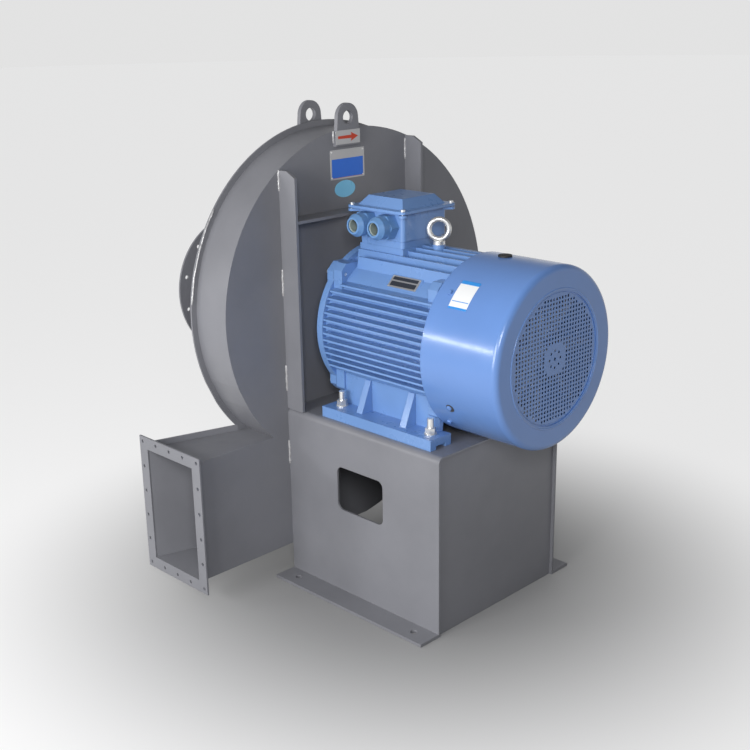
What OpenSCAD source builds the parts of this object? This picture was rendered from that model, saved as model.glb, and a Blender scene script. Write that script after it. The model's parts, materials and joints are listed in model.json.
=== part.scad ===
// High-pressure centrifugal blower, direct drive, with its foot-mounted motor on a plate pedestal.
// Frame: +X along the shaft from the casing to the motor's fan cowl, -Y out of the outlet, +Z up.
// The origin lies on the floor, in the middle of the four anchor holes.

/* [Pedestal] */
// Distance from the motor feet's rear end to the pedestal's end
pedestal_end_margin = 45; // [20:1:120]
// Distance from a motor foot's outer edge to the pedestal's front or rear plate, outside
pedestal_margin = 20; // [12:1:45]
// Height of the pedestal's top above the floor
pedestal_h = 478; // [440:1:540]
// Thickness of the pedestal's bent plate
pedestal_t = 6; // [4:0.5:8]
// Outside radius of the bends along the pedestal's top
pedestal_bend = 16; // [10:1:24]
// Width of the foot flanges that turn outward at the floor
foot_flange_w = 66; // [50:1:80]
// Thickness of the foot flanges
foot_flange_t = 8; // [6:0.5:12]
// Diameter of the four anchor holes
anchor_d = 18; // [14:0.5:22]
// Distance from a foot flange's end to its anchor hole
anchor_end = 55; // [35:1:70]
// Distance from the front plate out to the anchor hole
anchor_out = 32; // [26:1:36]
// How far the end plate is set in from the pedestal's end
end_plate_inset = 8; // [2:1:20]
// Thickness of the end plate
end_plate_t = 5; // [3:0.5:8]
// Width of the window in the front plate
window_w = 165; // [120:1:200]
// Height of the window in the front plate
window_h = 120; // [80:1:150]
// Height of the window's lower edge above the floor
window_z = 243; // [200:1:260]
// Distance from the casing to the window
window_x = 187; // [150:1:220]
// Radius of the window's corners
window_r = 18; // [8:1:30]

/* [Casing] */
// Width of the scroll over both side plates
casing_w = 132; // [124:1:150]
// Thickness of the two side plates
plate_t = 5; // [4:0.5:8]
// Thickness of the scroll wrapper
wrapper_t = 4; // [3:0.5:6]
// Radius of the scroll's first arc, from the tongue to the top
scroll_r = 454.25; // [440:0.25:470]
// Growth of the scroll's radius from one quarter to the next
scroll_step = 66.5; // [58:0.5:72]
// How far the motor-side plate stands out beyond the wrapper
back_rim = 6; // [2:1:12]
// How far the inlet-side plate stands out beyond the wrapper
inlet_rim = 16; // [8:1:24]
// Radius of the hole that the hub passes through
back_hole_r = 62; // [54:1:80]
// Radius of the hole behind the inlet ring
inlet_hole_r = 190; // [175:1:200]

/* [Outlet] */
// Clear width of the outlet, along the shaft
outlet_w = 192; // [150:1:220]
// Clear height of the outlet
outlet_h = 312; // [280:1:340]
// Distance from the shaft to the outlet flange's face
outlet_reach = 556; // [520:1:620]
// Distance from the shaft to where the tongue stands and the duct starts to widen
tongue_y = 308; // [290:1:320]
// Slope of the straight tongue, from level
tongue_angle = 116; // [112:1:120]
// Width of the outlet flange's frame
outlet_flange_leg = 33; // [28:1:45]
// Thickness of the outlet flange
outlet_flange_t = 5; // [4:0.5:8]
// Spacing of the outlet flange's holes along the shaft
outlet_pitch_x = 58; // [50:0.5:60]
// Upright spacing of the outlet flange's holes
outlet_pitch_z = 70; // [64:0.5:72]
// Number of spaces between holes along the shaft
outlet_spaces_x = 4; // [3:1:5]
// Number of upright spaces between holes
outlet_spaces_z = 5; // [4:1:6]
// Diameter of the outlet flange's holes
outlet_hole_d = 9; // [7:0.5:12]

/* [Inlet] */
// Inside radius of the inlet pipe
inlet_r = 160; // [150:1:166]
// Wall of the inlet pipe
inlet_wall = 4; // [3:0.5:6]
// Length of the inlet pipe from the casing to its flange's face
inlet_reach = 368; // [200:1:400]
// Outside radius of the inlet flange
inlet_flange_r = 208; // [196:1:220]
// Thickness of the inlet flange
inlet_flange_t = 6; // [4:0.5:10]
// Radius of the inlet flange's bolt circle
inlet_bolt_r = 186; // [178:1:196]
// Diameter of the inlet flange's bolt holes
inlet_hole_d = 12; // [9:0.5:14]
// Number of bolt holes in the inlet flange
inlet_bolts = 12; // [8:2:16]
// Outside radius of the ring that bolts the inlet to the casing
inlet_ring_r = 222; // [214:1:240]
// Thickness of that ring
inlet_ring_t = 6; // [4:0.5:8]
// Radius of the ring's bolt circle
inlet_ring_bolt_r = 206; // [200:1:212]
// Radius at the small end of the inlet cone
cone_tip_r = 148; // [140:1:152]
// Depth of the inlet cone inside the casing
cone_depth = 32; // [24:1:38]
// Sheet thickness of the inlet cone
cone_t = 3; // [2:0.5:4]

/* [Ribs and lugs] */
// Width of the two upright ribs and of the bar between them
rib_w = 60; // [40:1:80]
// Thickness of the ribs and the bar
rib_t = 8; // [6:0.5:12]
// Run of the slope at the top of each rib
rib_slope_run = 30; // [20:1:50]
// Drop of the slope at the top of each rib
rib_slope_drop = 16; // [10:1:40]
// Height of the bar's top above the floor
bar_z = 986; // [940:1:1020]
// Thickness of the lifting lugs
lug_t = 12; // [8:1:16]
// Width of a lifting lug at its foot
lug_w = 88; // [70:1:110]
// Radius of a lifting lug's round top
lug_top_r = 37; // [30:1:44]
// Diameter of the hole in a lifting lug
lug_hole_d = 35; // [26:1:42]
// Height of the lug's hole above the shaft
lug_rise = 520; // [505:1:545]
// Height of a lug's foot above the shaft
lug_foot = 448; // [430:1:470]

/* [Impeller] */
// Radius of the impeller
wheel_r = 315; // [280:1:340]
// Gap between the casing's motor-side plate and the impeller
wheel_gap = 18; // [14:1:26]
// Thickness of the impeller's back disc
disc_t = 5; // [4:0.5:8]
// Width of the impeller at its rim
rim_width = 52; // [40:1:60]
// Width of the impeller at its eye
eye_width = 70; // [60:1:74]
// Radius of the impeller's eye
eye_r = 158; // [152:1:165]
// Thickness of the impeller's shroud
shroud_t = 4; // [3:0.5:6]
// Number of blades
blades = 16; // [12:1:20]
// Thickness of a blade
blade_t = 4; // [3:0.5:6]
// Radius where the blades begin
blade_in_r = 174; // [168:1:190]
// Radius of a blade's curve
blade_bend_r = 574; // [540:1:600]
// Distance from the shaft to the middle of a blade's curve
blade_centre = 443; // [430:1:456]
// Radius of the hub's sleeve
hub_r = 46; // [42:1:50]
// Radius of the hub's flange
hub_flange_r = 95; // [80:1:110]
// Thickness of the hub's flange
hub_flange_t = 10; // [8:1:14]
// Radius of the circle of the bolts that join hub and disc
hub_bolt_r = 76; // [68:1:80]
// Number of hub bolts
hub_bolts = 8; // [6:1:12]
// Radius of the shaft seal's plate
seal_r = 92; // [84:1:110]
// Thickness of the shaft seal's plate
seal_t = 4; // [3:0.5:6]

/* [Motor frame] */
// Height of the shaft above the feet
motor_h = 225; // [225:1:250]
// Distance between foot bolts along the shaft
foot_pitch_x = 311; // [286:1:330]
// Distance between foot bolts across the shaft
foot_pitch_y = 356; // [340:1:380]
// Distance from the shaft's shoulder to the first foot bolt
foot_bolt_c = 149; // [140:1:160]
// Distance from the casing to the shaft's shoulder
shoulder_gap = 3; // [2:0.5:8]
// Length of a foot along the shaft
foot_l = 382; // [372:1:396]
// Distance from a foot's front end to its first bolt
foot_front = 37; // [32:1:46]
// Distance from a foot bolt to the foot's outer edge
foot_edge = 37; // [32:1:40]
// Width of one foot
foot_w = 74; // [66:1:80]
// Thickness of a foot
foot_t = 28; // [22:1:32]
// Outer radius of the frame's barrel
barrel_r = 192; // [188:1:196]
// Inner radius of the frame's barrel
barrel_in_r = 184; // [180:1:186]
// Radius of the circle that the fin tips reach
fin_r = 217; // [210:1:219]
// Thickness of a fin
fin_t = 5; // [4:0.5:6]
// Run of the slope at a fin's front end
fin_slope = 12; // [4:1:20]
// Spacing of the horizontal fins at the sides
side_fin_pitch = 17.5; // [16:0.5:19]
// Number of horizontal fins at each side
side_fins = 13; // [11:1:14]
// Spacing of the upright fins on the top and the bottom
top_fin_pitch = 27; // [25:0.5:28]
// Number of upright fins on the top
top_fins = 9; // [7:2:9]
// How far the middle of the side fins lies above the shaft
side_fin_rise = 20; // [14:1:24]
// Distance from the shaft to the outer face of the frame's corner lugs, across
corner_y = 160; // [156:1:164]
// Distance from the shaft to the top face of the frame's corner lugs
corner_z = 173; // [168:1:176]
// Distance from the casing to the frame's front end
frame_x = 113; // [108:1:118]
// Distance from the casing to the frame's rear end
frame_end_x = 470; // [460:1:480]
// Width of the legs' gussets along the shaft
gusset_t = 20; // [14:1:26]
// Height of the boss that carries the eyebolt, above the shaft
eye_boss_top = 226; // [222:1:232]
// Distance from the casing to the eyebolt
eyebolt_x = 331; // [320:1:345]

/* [Cowl] */
// Outer radius of the fan cowl
cowl_r = 224; // [222:1:232]
// Distance from the casing to the cowl's open edge
cowl_x = 472; // [471:1:480]
// Distance from the casing to the cowl's end face
cowl_end_x = 700; // [680:1:740]
// Sheet thickness of the cowl
cowl_t = 3; // [2:0.5:4]
// Radius of the cowl's rounded edge
cowl_round = 15; // [10:1:24]
// Radius of the round opening that the grille fills
grille_r = 163; // [155:1:166]
// Sheet thickness of the grille
grille_t = 1.5; // [1:0.25:3]
// Width of one square hole in the grille
grille_hole = 7.2; // [5:0.2:8]
// Spacing of the grille's holes across
grille_pitch_y = 12.6; // [11:0.1:16]
// Upright spacing of the grille's holes
grille_pitch_z = 11.8; // [11:0.1:16]
// Radius of the plain disc in the middle of the grille
grille_blank_r = 34; // [28:1:44]
// Radius of the cooling fan
fan_r = 186; // [160:1:196]
// Number of cooling fan blades
fan_blades = 8; // [6:1:12]
// Width of the cooling fan along the shaft
fan_w = 66; // [50:1:70]
// Distance from the casing to the rubber plug on the cowl
plug_at = 542; // [540:1:640]
// Diameter of the rubber plug on the cowl
plug_d = 34; // [26:1:44]

/* [Terminal box] */
// Distance from the casing to the middle of the terminal box
box_x = 203; // [190:1:215]
// Side of the terminal box's body
box_w = 162; // [150:1:172]
// How far the lid's flange stands out beyond the body
lid_reach = 18; // [15:0.5:22]
// Height of the box's underside above the shaft
box_low = 236; // [230:1:244]
// How much lower the box's body is than half its side
box_flat = 11; // [6:1:14]
// Wall of the box
box_t = 5; // [4:0.5:7]
// Thickness of the lid's flange
lid_flange_t = 7; // [6:0.5:10]
// Height of the lid's raised middle
lid_rise = 24; // [18:1:30]
// Slope inset of the lid's raised middle
lid_slope = 22; // [12:1:30]
// Thickness of the gaskets
gasket_t = 2; // [1:0.5:3]
// How far the neck between frame and box stands in from the body's sides
neck_inset = 5; // [2:1:10]
// How much closer the two cable glands stand than half the box's side
gland_side = 9; // [6:0.5:12]
// Height of the body that a gland's hexagon leaves free
gland_room = 12; // [11:0.5:18]
// How much smaller a gland's dome is than its hexagon
gland_step = 4; // [2:0.5:6]
// Wall of a gland's dome round its bore
gland_wall = 10.5; // [9:0.5:13]
// Length that a gland stands out of the box
gland_l = 60; // [48:1:70]

/* [Shaft and bearings] */
// Radius of the shaft's extension
shaft_r = 27.5; // [24:0.5:30]
// Length of the shaft's extension
shaft_ext = 110; // [105:1:118]
// Radius of the shaft's bearing seats
seat_r = 30; // [30:0.5:32]
// Radius of the shaft inside the rotor
core_shaft_r = 36; // [34:1:40]
// Radius of the seat of the cooling fan
fan_seat_r = 25; // [20:1:28]
// Outer radius of a ball bearing
bearing_r = 65; // [62:0.5:70]
// Width of a ball bearing
bearing_w = 31; // [27:1:35]
// Radius of the circle of the bearing's balls
ball_ring_r = 47.5; // [46.5:0.5:48.5]
// Radius of a bearing ball
ball_r = 11; // [9:0.5:11]
// Number of balls in a bearing
balls = 8; // [6:1:9]
// Running clearance round the balls
ball_play = 0.35; // [0.3:0.05:0.5]
// Distance from the casing to the drive-end bearing
de_bearing_x = 24; // [22:1:30]
// Distance from the casing to the far bearing
nde_bearing_x = 502; // [496:1:508]
// Air gap between rotor and stator
air_gap = 1; // [0.5:0.1:1.5]
// Bore radius of the stator
stator_bore_r = 105.5; // [98:0.5:112]
// Length of the stator's core
stator_l = 210; // [180:1:230]
// Distance from the casing to the middle of the stator
stator_x = 284; // [270:1:296]
// Length that each winding head stands out of the core
winding_l = 54; // [40:1:56]
// Width of the shaft's key
key_w = 16; // [14:1:18]
// Height of the shaft's key
key_h = 10; // [8:1:12]
// Length of the shaft's key
key_l = 80; // [60:1:90]

/* [Fasteners] */
// Diameter of the foot bolts and the eyebolt
stud_d = 16; // [14:1:20]
// Width across flats of the foot bolts' nuts
stud_nut_af = 24; // [22:1:30]
// Height of the foot bolts' nuts
stud_nut_h = 13; // [10:1:16]
// Length of the foot bolts above the feet
stud_top = 40; // [34:1:56]
// Diameter of the washers under those nuts
washer_d = 32; // [28:1:36]
// Thickness of those washers
washer_t = 3; // [2:0.5:4]
// Diameter of the middle-sized screws
screw_d = 10; // [8:1:12]
// Width across flats of the middle-sized screws
screw_af = 17; // [13:1:19]
// Height of the middle-sized screws' heads
screw_head = 7; // [5:0.5:8]
// Diameter of the small screws
small_d = 6; // [4:0.5:8]
// Diameter of the small screws' heads
small_head_d = 12; // [9:0.5:14]
// Height of the small screws' heads
small_head = 5; // [3:0.5:6]
// Outer diameter of the eyebolt's ring
ring_d = 63; // [54:1:72]
// Thickness of the eyebolt's ring
ring_t = 13; // [10:0.5:16]

/* [Hidden] */

// Overrun of every cut beyond the material that it goes through
over = 2;
// Gap of a loosely seated joint
seat_gap = 0.3;
// Radial play of a turned seat, a pin in its bore or a screw in its hole
fit_gap = 0.05;
// Facets of a full circle, as drawn
round_fn = 96;
// Facets of a small circle, as drawn
small_fn = 32;
// Sides of a hexagon
hex_sides = 6;
// A length beyond every part, for half planes
far = pedestal_h + scroll_r + scroll_step + outlet_reach;

// Pedestal: as long and wide as the motor's feet need
foot_span = foot_pitch_y + foot_edge * 2;
pedestal_l = shoulder_gap + foot_bolt_c - foot_front + foot_l + pedestal_end_margin;
pedestal_w = foot_span + pedestal_margin * 2;

// Motor-side face of the casing, against which the pedestal stands
face_x = -pedestal_l / 2;
shaft_z = pedestal_h + motor_h;
half_step = scroll_step / 2;

// Lowest outer face of the casing: the scroll's last arc reaches it below the shaft
floor_z = shaft_z - scroll_r - half_step - scroll_step * 2;
outlet_low = floor_z + wrapper_t;
duct_top = outlet_low + outlet_h + wrapper_t;
inlet_face_x = face_x - casing_w;
duct_l = outlet_reach - outlet_flange_t - tongue_y;
outlet_in_x = face_x - plate_t - outlet_w;

// Impeller planes, each towards the inlet from the last
disc_x = face_x - plate_t - wheel_gap;
wheel_face_x = disc_x - disc_t;
eye_x = wheel_face_x - eye_width;
rim_x = wheel_face_x - rim_width;
shoulder_x = face_x + shoulder_gap;
shaft_tip_x = shoulder_x - shaft_ext;
// Small step between neighbouring turned seats, and play of a bolt in its hole
wall_of_seat = 2;
hub_tip_x = shaft_tip_x - wall_of_seat;

// Motor planes
foot_bolt_x = shoulder_x + foot_bolt_c;
foot_x = foot_bolt_x - foot_front;
frame_front = face_x + frame_x;
frame_end = face_x + frame_end_x;
de_x = face_x + de_bearing_x;
nde_x = face_x + nde_bearing_x;
stator_mid = face_x + stator_x;
cowl_front = face_x + cowl_x;
cowl_end = face_x + cowl_end_x;
// Room between the cooling fan and the grille
fan_grille_gap = 40;
fan_x = cowl_end - fan_w - fan_grille_gap;
box_mid = face_x + box_x;
box_h = box_w / 2 - box_flat;
box_z = shaft_z + box_low;
body_top = box_z + box_h;
lid_z = body_top + gasket_t;

// End shields: flange, dish and bearing seat
shield_r = 205;
shield_flange_t = 24;
shield_edge = 4;
shield_spigot = 8;
shield_wall = 11;
shield_hub_r = 92;
corner_l = 30;
corner_low = 108;
corner_chamfer = 12;
corner_in = 90;
front_bolt_at = 206;
rear_bolt_at = 192;
// How far the frame's lugs stand back from its machined ends
lug_inset = 0.5;
lug_angles = [45, 135, 225, 315];
cap_r = 80;
cap_t = 12;

// Terminal box: everything follows the body's side
lid_w = box_w + lid_reach * 2;
neck_w = box_w - neck_inset * 2;
gland_pitch = box_w / 2 - gland_side;
gland_af = box_h - gland_room;
gland_d = gland_af - gland_step;
gland_bore_d = gland_d - gland_wall * 2;

// Neck and box details
box_corner_r = 10;
lid_screw_inset = 10;
ear_r = 10;

// A drawing in Y and Z, given thickness t along X from x
module across(x, t) {
    translate([x, 0, 0]) rotate([90, 0, 90]) linear_extrude(t) children();
}

// A drawing in X and Z, given thickness t along Y from y
module along_y(y, t) {
    translate([0, y + t, 0]) rotate([90, 0, 0]) linear_extrude(t) children();
}

// A drawing in radius and X, turned about the shaft
module turned() {
    translate([0, 0, shaft_z]) rotate([0, 90, 0]) rotate_extrude($fn = round_fn) children();
}

// A round bar on the shaft's line
module rod(x, l, r, fn = round_fn) {
    translate([x, 0, shaft_z]) rotate([0, 90, 0]) cylinder(h = l, r = r, $fn = fn);
}

// Children at an angle and radius about the shaft, turned to point along X
module around(x, angle, radius) {
    translate([x, 0, shaft_z]) rotate([angle, 0, 0]) translate([0, radius, 0]) rotate([0, 90, 0]) children();
}

// A flat washer or tube standing on z = 0
module tube(h, r_out, r_in, fn = small_fn) {
    difference() {
        cylinder(h = h, r = r_out, $fn = fn);
        translate([0, 0, -over]) cylinder(h = h + over + over, r = r_in, $fn = fn);
    }
}

// Radius of a hexagon's corners from its width across flats
function hex_r(af) = af / 2 / cos(180 / hex_sides);

// A hexagon-headed screw: head above z = 0, shank below
module hex_screw(d, l, af, head) {
    cylinder(h = head, r = hex_r(af), $fn = hex_sides);
    translate([0, 0, -l]) cylinder(h = l + head / 2, r = d / 2, $fn = small_fn);
}

// A round-headed screw: head above z = 0, shank below
module round_screw(d, l, head_d, head) {
    cylinder(h = head, r = head_d / 2, $fn = small_fn);
    translate([0, 0, -l]) cylinder(h = l + head / 2, r = d / 2, $fn = small_fn);
}

// A rounded rectangle about the origin, built from bars and true circles
module rounded_rect(w, h, r) {
    square([w - r * 2, h], center = true);
    square([w, h - r * 2], center = true);
    for (x = [-1, 1], y = [-1, 1])
        translate([x * (w / 2 - r), y * (h / 2 - r)]) circle(r, $fn = round_fn);
}

// Pedestal

// Section of the bent plate: two walls, a top with rounded bends and two outward feet
module pedestal_section() {
    inner_bend = pedestal_bend - pedestal_t;
    difference() {
        union() {
            translate([-pedestal_w / 2, 0]) square([pedestal_w, pedestal_h - pedestal_bend]);
            translate([-foot_flange_w - pedestal_w / 2, 0])
                square([pedestal_w + foot_flange_w * 2, foot_flange_t]);
            translate([pedestal_bend - pedestal_w / 2, 0])
                square([pedestal_w - pedestal_bend * 2, pedestal_h]);
            for (s = [-1, 1])
                translate([s * (pedestal_w / 2 - pedestal_bend), pedestal_h - pedestal_bend])
                    circle(pedestal_bend, $fn = round_fn);
        }
        translate([pedestal_t - pedestal_w / 2, -over])
            square([pedestal_w - pedestal_t * 2, pedestal_h - pedestal_bend + over]);
        translate([pedestal_bend - pedestal_w / 2, -over])
            square([pedestal_w - pedestal_bend * 2, pedestal_h - pedestal_t + over]);
        for (s = [-1, 1])
            translate([s * (pedestal_w / 2 - pedestal_bend), pedestal_h - pedestal_bend])
                circle(inner_bend, $fn = round_fn);
    }
}

module pedestal_shell() {
    color("dimgray") difference() {
        across(face_x, pedestal_l) pedestal_section();
        for (x = [-1, 1], y = [-1, 1])
            translate([x * (pedestal_l / 2 - anchor_end), y * (pedestal_w / 2 + anchor_out), -over])
                cylinder(h = foot_flange_t + over * 2, r = anchor_d / 2, $fn = small_fn);
        for (x = [0, foot_pitch_x], y = [-1, 1])
            translate([foot_bolt_x + x, y * foot_pitch_y / 2, pedestal_h - pedestal_t - over])
                cylinder(h = pedestal_t + over * 2, r = stud_d / 2 + seat_gap, $fn = small_fn);
        along_y(-pedestal_w / 2 - over, pedestal_t + over * 2)
            translate([face_x + window_x + window_w / 2, window_z + window_h / 2])
                rounded_rect(window_w, window_h, window_r);
    }
}

// End plate, set a little inside the bent plate
module pedestal_end_plate() {
    color("dimgray") across(-face_x - end_plate_inset - end_plate_t, end_plate_t) {
        inner_w = pedestal_w - pedestal_t * 2;
        translate([-inner_w / 2, 0]) square([inner_w, pedestal_h - pedestal_bend]);
        translate([pedestal_bend - pedestal_w / 2, 0])
            square([pedestal_w - pedestal_bend * 2, pedestal_h - pedestal_t]);
        for (s = [-1, 1])
            translate([s * (pedestal_w / 2 - pedestal_bend), pedestal_h - pedestal_bend])
                circle(pedestal_bend - pedestal_t, $fn = round_fn);
    }
}

// Height above the shaft of the back plate's edge at a distance y from the middle, ahead of the top
function rim_front(y) = half_step + sqrt(pow(scroll_r + back_rim, 2) - pow(y + half_step, 2));
// The same behind the top, on the next arc
function rim_rear(y) = -half_step + sqrt(pow(scroll_r + scroll_step + back_rim, 2) - pow(y - half_step, 2));

// A rib: flat bar on edge from the pedestal to the casing's edge, its outer top corner sloped
module rib(y, top) {
    color("gray") along_y(y, rib_t) polygon([
        [face_x, pedestal_h],
        [face_x + rib_w, pedestal_h],
        [face_x + rib_w, top - rib_slope_drop],
        [face_x + rib_w - rib_slope_run, top],
        [face_x, top]]);
}

module rib_front() {
    rib(-pedestal_w / 2, shaft_z + rim_front(pedestal_w / 2));
}

module rib_rear() {
    rib(pedestal_w / 2 - rib_t, shaft_z + rim_rear(pedestal_w / 2));
}

// Flat bar lying between the ribs
module rib_bar() {
    color("dimgray") translate([face_x, rib_t - pedestal_w / 2, bar_z - rib_t])
        cube([rib_w, pedestal_w - rib_t * 2, rib_t]);
}

// Casing

// A quarter or half of the scroll: a disc about a corner of the scroll's square, cut to a window
module scroll_part(cy, cz, r, y0, y1, z0, z1) {
    intersection() {
        translate([cy, cz]) circle(r, $fn = round_fn * 2);
        translate([y0, z0]) square([y1 - y0, z1 - z0]);
    }
}

// The scroll's outline about the shaft: three arcs that step outward, grown by o
module scroll_outline(o) {
    h = half_step;
    scroll_part(h, h, scroll_r + o, -far, h, -far, far);
    scroll_part(h, -h, scroll_r + scroll_step + o, h, far, -h, far);
    scroll_part(-h, -h, scroll_r + scroll_step * 2 + o, -h, far, -far, -h);
}

// The outline with its straight tongue and the outlet duct, cut off flat at the casing's underside
module casing_outline(o, reach, top, low) {
    intersection() {
        union() {
            intersection() {
                translate([0, shaft_z]) scroll_outline(o);
                translate([-tongue_y, duct_top]) rotate(tongue_angle) translate([-far, -far])
                    square([far * 2, far + o]);
            }
            translate([-reach, low]) square([reach - half_step, top - low]);
        }
        translate([-far, low]) square([far * 2, far]);
    }
}

module casing_back_plate() {
    color("gray") across(face_x - plate_t, plate_t) difference() {
        casing_outline(back_rim, outlet_reach - outlet_flange_t, duct_top + back_rim, floor_z);
        translate([0, shaft_z]) circle(back_hole_r, $fn = round_fn);
        for (a = lug_angles) translate([0, shaft_z]) rotate(a)
            translate([seal_screw_r, 0]) circle(small_d / 2 + fit_gap, $fn = small_fn);
    }
}

// Inlet-side plate: flat over the scroll, bent outward along the duct
module casing_inlet_plate() {
    color("gray") {
        across(inlet_face_x, plate_t) difference() {
            casing_outline(inlet_rim, outlet_reach, duct_top + inlet_rim, floor_z);
            translate([-far, -far]) square([far - tongue_y, far + duct_top + inlet_rim]);
            translate([0, shaft_z]) circle(inlet_hole_r, $fn = round_fn);
            for (i = [1:inlet_bolts]) translate([0, shaft_z]) rotate(i * 360 / inlet_bolts)
                translate([inlet_ring_bolt_r, 0]) circle(screw_d / 2 + fit_gap, $fn = small_fn);
        }
        translate([0, 0, floor_z]) linear_extrude(duct_top + inlet_rim - floor_z) polygon([
            [inlet_face_x, -tongue_y],
            [inlet_face_x + plate_t, -tongue_y],
            [outlet_in_x, -tongue_y - duct_l],
            [outlet_in_x - plate_t, -tongue_y - duct_l]]);
    }
}

// Wrapper: the bent strip between the side plates, with the duct's floor and roof
module scroll_wrapper() {
    inner_x = inlet_face_x + plate_t;
    color("gray") {
        across(inner_x, casing_w - plate_t * 2) difference() {
            casing_outline(0, tongue_y, duct_top, floor_z);
            casing_outline(-wrapper_t, tongue_y + over, duct_top - wrapper_t, outlet_low);
        }
        for (z = [floor_z, duct_top - wrapper_t])
            translate([0, 0, z]) linear_extrude(wrapper_t) polygon([
                [inner_x, -tongue_y],
                [face_x - plate_t, -tongue_y],
                [face_x - plate_t, -tongue_y - duct_l],
                [outlet_in_x, -tongue_y - duct_l]]);
    }
}

// Frame of flat bar round the outlet, with a row of holes along each side
module outlet_flange() {
    mid_x = outlet_in_x + outlet_w / 2;
    mid_z = outlet_low + outlet_h / 2;
    color("gray") along_y(-outlet_reach, outlet_flange_t) translate([mid_x, mid_z]) difference() {
        square([outlet_w + outlet_flange_leg * 2, outlet_h + outlet_flange_leg * 2], center = true);
        square([outlet_w, outlet_h], center = true);
        for (i = [0:outlet_spaces_x], j = [0:outlet_spaces_z])
            if (i == 0 || j == 0 || i == outlet_spaces_x || j == outlet_spaces_z)
                translate([(i - outlet_spaces_x / 2) * outlet_pitch_x,
                    (j - outlet_spaces_z / 2) * outlet_pitch_z]) circle(outlet_hole_d / 2, $fn = small_fn);
    }
}

// A lifting lug: straight sides drawn in to a round top
module lifting_lug(x) {
    color("dimgray") across(x, lug_t) difference() {
        union() {
            translate([0, shaft_z + lug_rise]) circle(lug_top_r, $fn = round_fn);
            polygon([
                [-lug_w / 2, shaft_z + lug_foot],
                [lug_w / 2, shaft_z + lug_foot],
                [lug_top_r, shaft_z + lug_rise],
                [-lug_top_r, shaft_z + lug_rise]]);
        }
        translate([0, shaft_z + lug_rise]) circle(lug_hole_d / 2, $fn = round_fn);
    }
}

module lifting_lug_motor_side() {
    lifting_lug(face_x);
}

module lifting_lug_inlet_side() {
    lifting_lug(inlet_face_x - lug_t);
}

// Plate with a felt-lined bore where the hub leaves the casing
module shaft_seal() {
    color("darkgray") across(face_x, seal_t) translate([0, shaft_z]) difference() {
        circle(seal_r, $fn = round_fn);
        circle(hub_r + seal_play, $fn = round_fn);
        for (a = lug_angles) rotate(a) translate([seal_screw_r, 0])
            circle(small_d / 2 + fit_gap, $fn = small_fn);
    }
}

module shaft_seal_screws() {
    color("silver") for (a = lug_angles) around(face_x + seal_t, a, seal_screw_r)
        round_screw(small_d, seal_t + plate_t, small_head_d, small_head);
}

// Inlet

// Ring that closes the casing round the inlet
module inlet_ring() {
    color("gray") across(inlet_face_x - inlet_ring_t, inlet_ring_t) translate([0, shaft_z]) difference() {
        circle(inlet_ring_r, $fn = round_fn);
        circle(inlet_r, $fn = round_fn);
        for (i = [1:inlet_bolts]) rotate(i * 360 / inlet_bolts)
            translate([inlet_ring_bolt_r, 0]) circle(screw_d / 2 + fit_gap, $fn = small_fn);
    }
}

module inlet_ring_bolts() {
    color("silver") for (i = [1:inlet_bolts])
        around(inlet_face_x - inlet_ring_t, i * 360 / inlet_bolts, inlet_ring_bolt_r)
            mirror([0, 0, 1]) hex_screw(screw_d, inlet_ring_t + plate_t, screw_af, screw_head);
}

module inlet_pipe() {
    pipe_l = inlet_reach - inlet_ring_t;
    color("gray") turned() translate([inlet_r, inlet_face_x - inlet_reach])
        square([inlet_wall, pipe_l]);
}

module inlet_flange() {
    color("gray") across(inlet_face_x - inlet_reach, inlet_flange_t) translate([0, shaft_z]) difference() {
        circle(inlet_flange_r, $fn = round_fn);
        circle(inlet_r + inlet_wall + fit_gap, $fn = round_fn);
        for (i = [1:inlet_bolts]) rotate((i - 1 / 2) * 360 / inlet_bolts)
            translate([inlet_bolt_r, 0]) circle(inlet_hole_d / 2, $fn = small_fn);
    }
}

// Cone that leads the air into the impeller's eye, with a flat rim behind the ring
module inlet_cone() {
    x = inlet_face_x;
    color("gray") turned() polygon([
        [inlet_hole_r - seat_gap, x],
        [inlet_r, x],
        [cone_tip_r + cone_t, x + cone_depth * cone_share],
        [cone_tip_r, x + cone_depth],
        [cone_tip_r + cone_t, x + cone_depth],
        [cone_tip_r + cone_t * 2, x + cone_depth * cone_share],
        [inlet_r + cone_t, x + cone_t],
        [inlet_hole_r - seat_gap, x + cone_t]]);
}
cone_share = 0.7;
seal_play = 1;
seal_screw_r = 78;

// Impeller

module impeller_back_disc() {
    color("darkgray") across(disc_x - disc_t, disc_t) translate([0, shaft_z]) difference() {
        circle(wheel_r, $fn = round_fn);
        circle(hub_r + fit_gap, $fn = round_fn);
        for (i = [1:hub_bolts]) rotate(i * 360 / hub_bolts)
            translate([hub_bolt_r, 0]) circle(screw_d / 2 + fit_gap, $fn = small_fn);
    }
}

// Conical front ring with a short mouth round the eye
module impeller_shroud() {
    color("darkgray") turned() polygon([
        [wheel_r, rim_x],
        [wheel_r, rim_x - shroud_t],
        [eye_r + shroud_t, eye_x - shroud_t],
        [eye_r + shroud_t, eye_x - mouth_l],
        [eye_r, eye_x - mouth_l],
        [eye_r, eye_x]]);
}
mouth_l = 12;

// Where the shroud's inner face stands at radius r
function shroud_x(r) = eye_x + (rim_x - eye_x) * (r - eye_r) / (wheel_r - eye_r);

// Blades: arcs that lean back against the turning, cut to the space between disc and shroud
module impeller_blades() {
    color("darkgray") intersection() {
        across(eye_x, eye_width) translate([0, shaft_z]) for (i = [1:blades]) rotate(i * 360 / blades)
            blade_section();
        turned() polygon([
            [blade_in_r, wheel_face_x],
            [wheel_r, wheel_face_x],
            [wheel_r, rim_x + seat_gap],
            [blade_in_r, shroud_x(blade_in_r) + seat_gap]]);
    }
}

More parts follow.
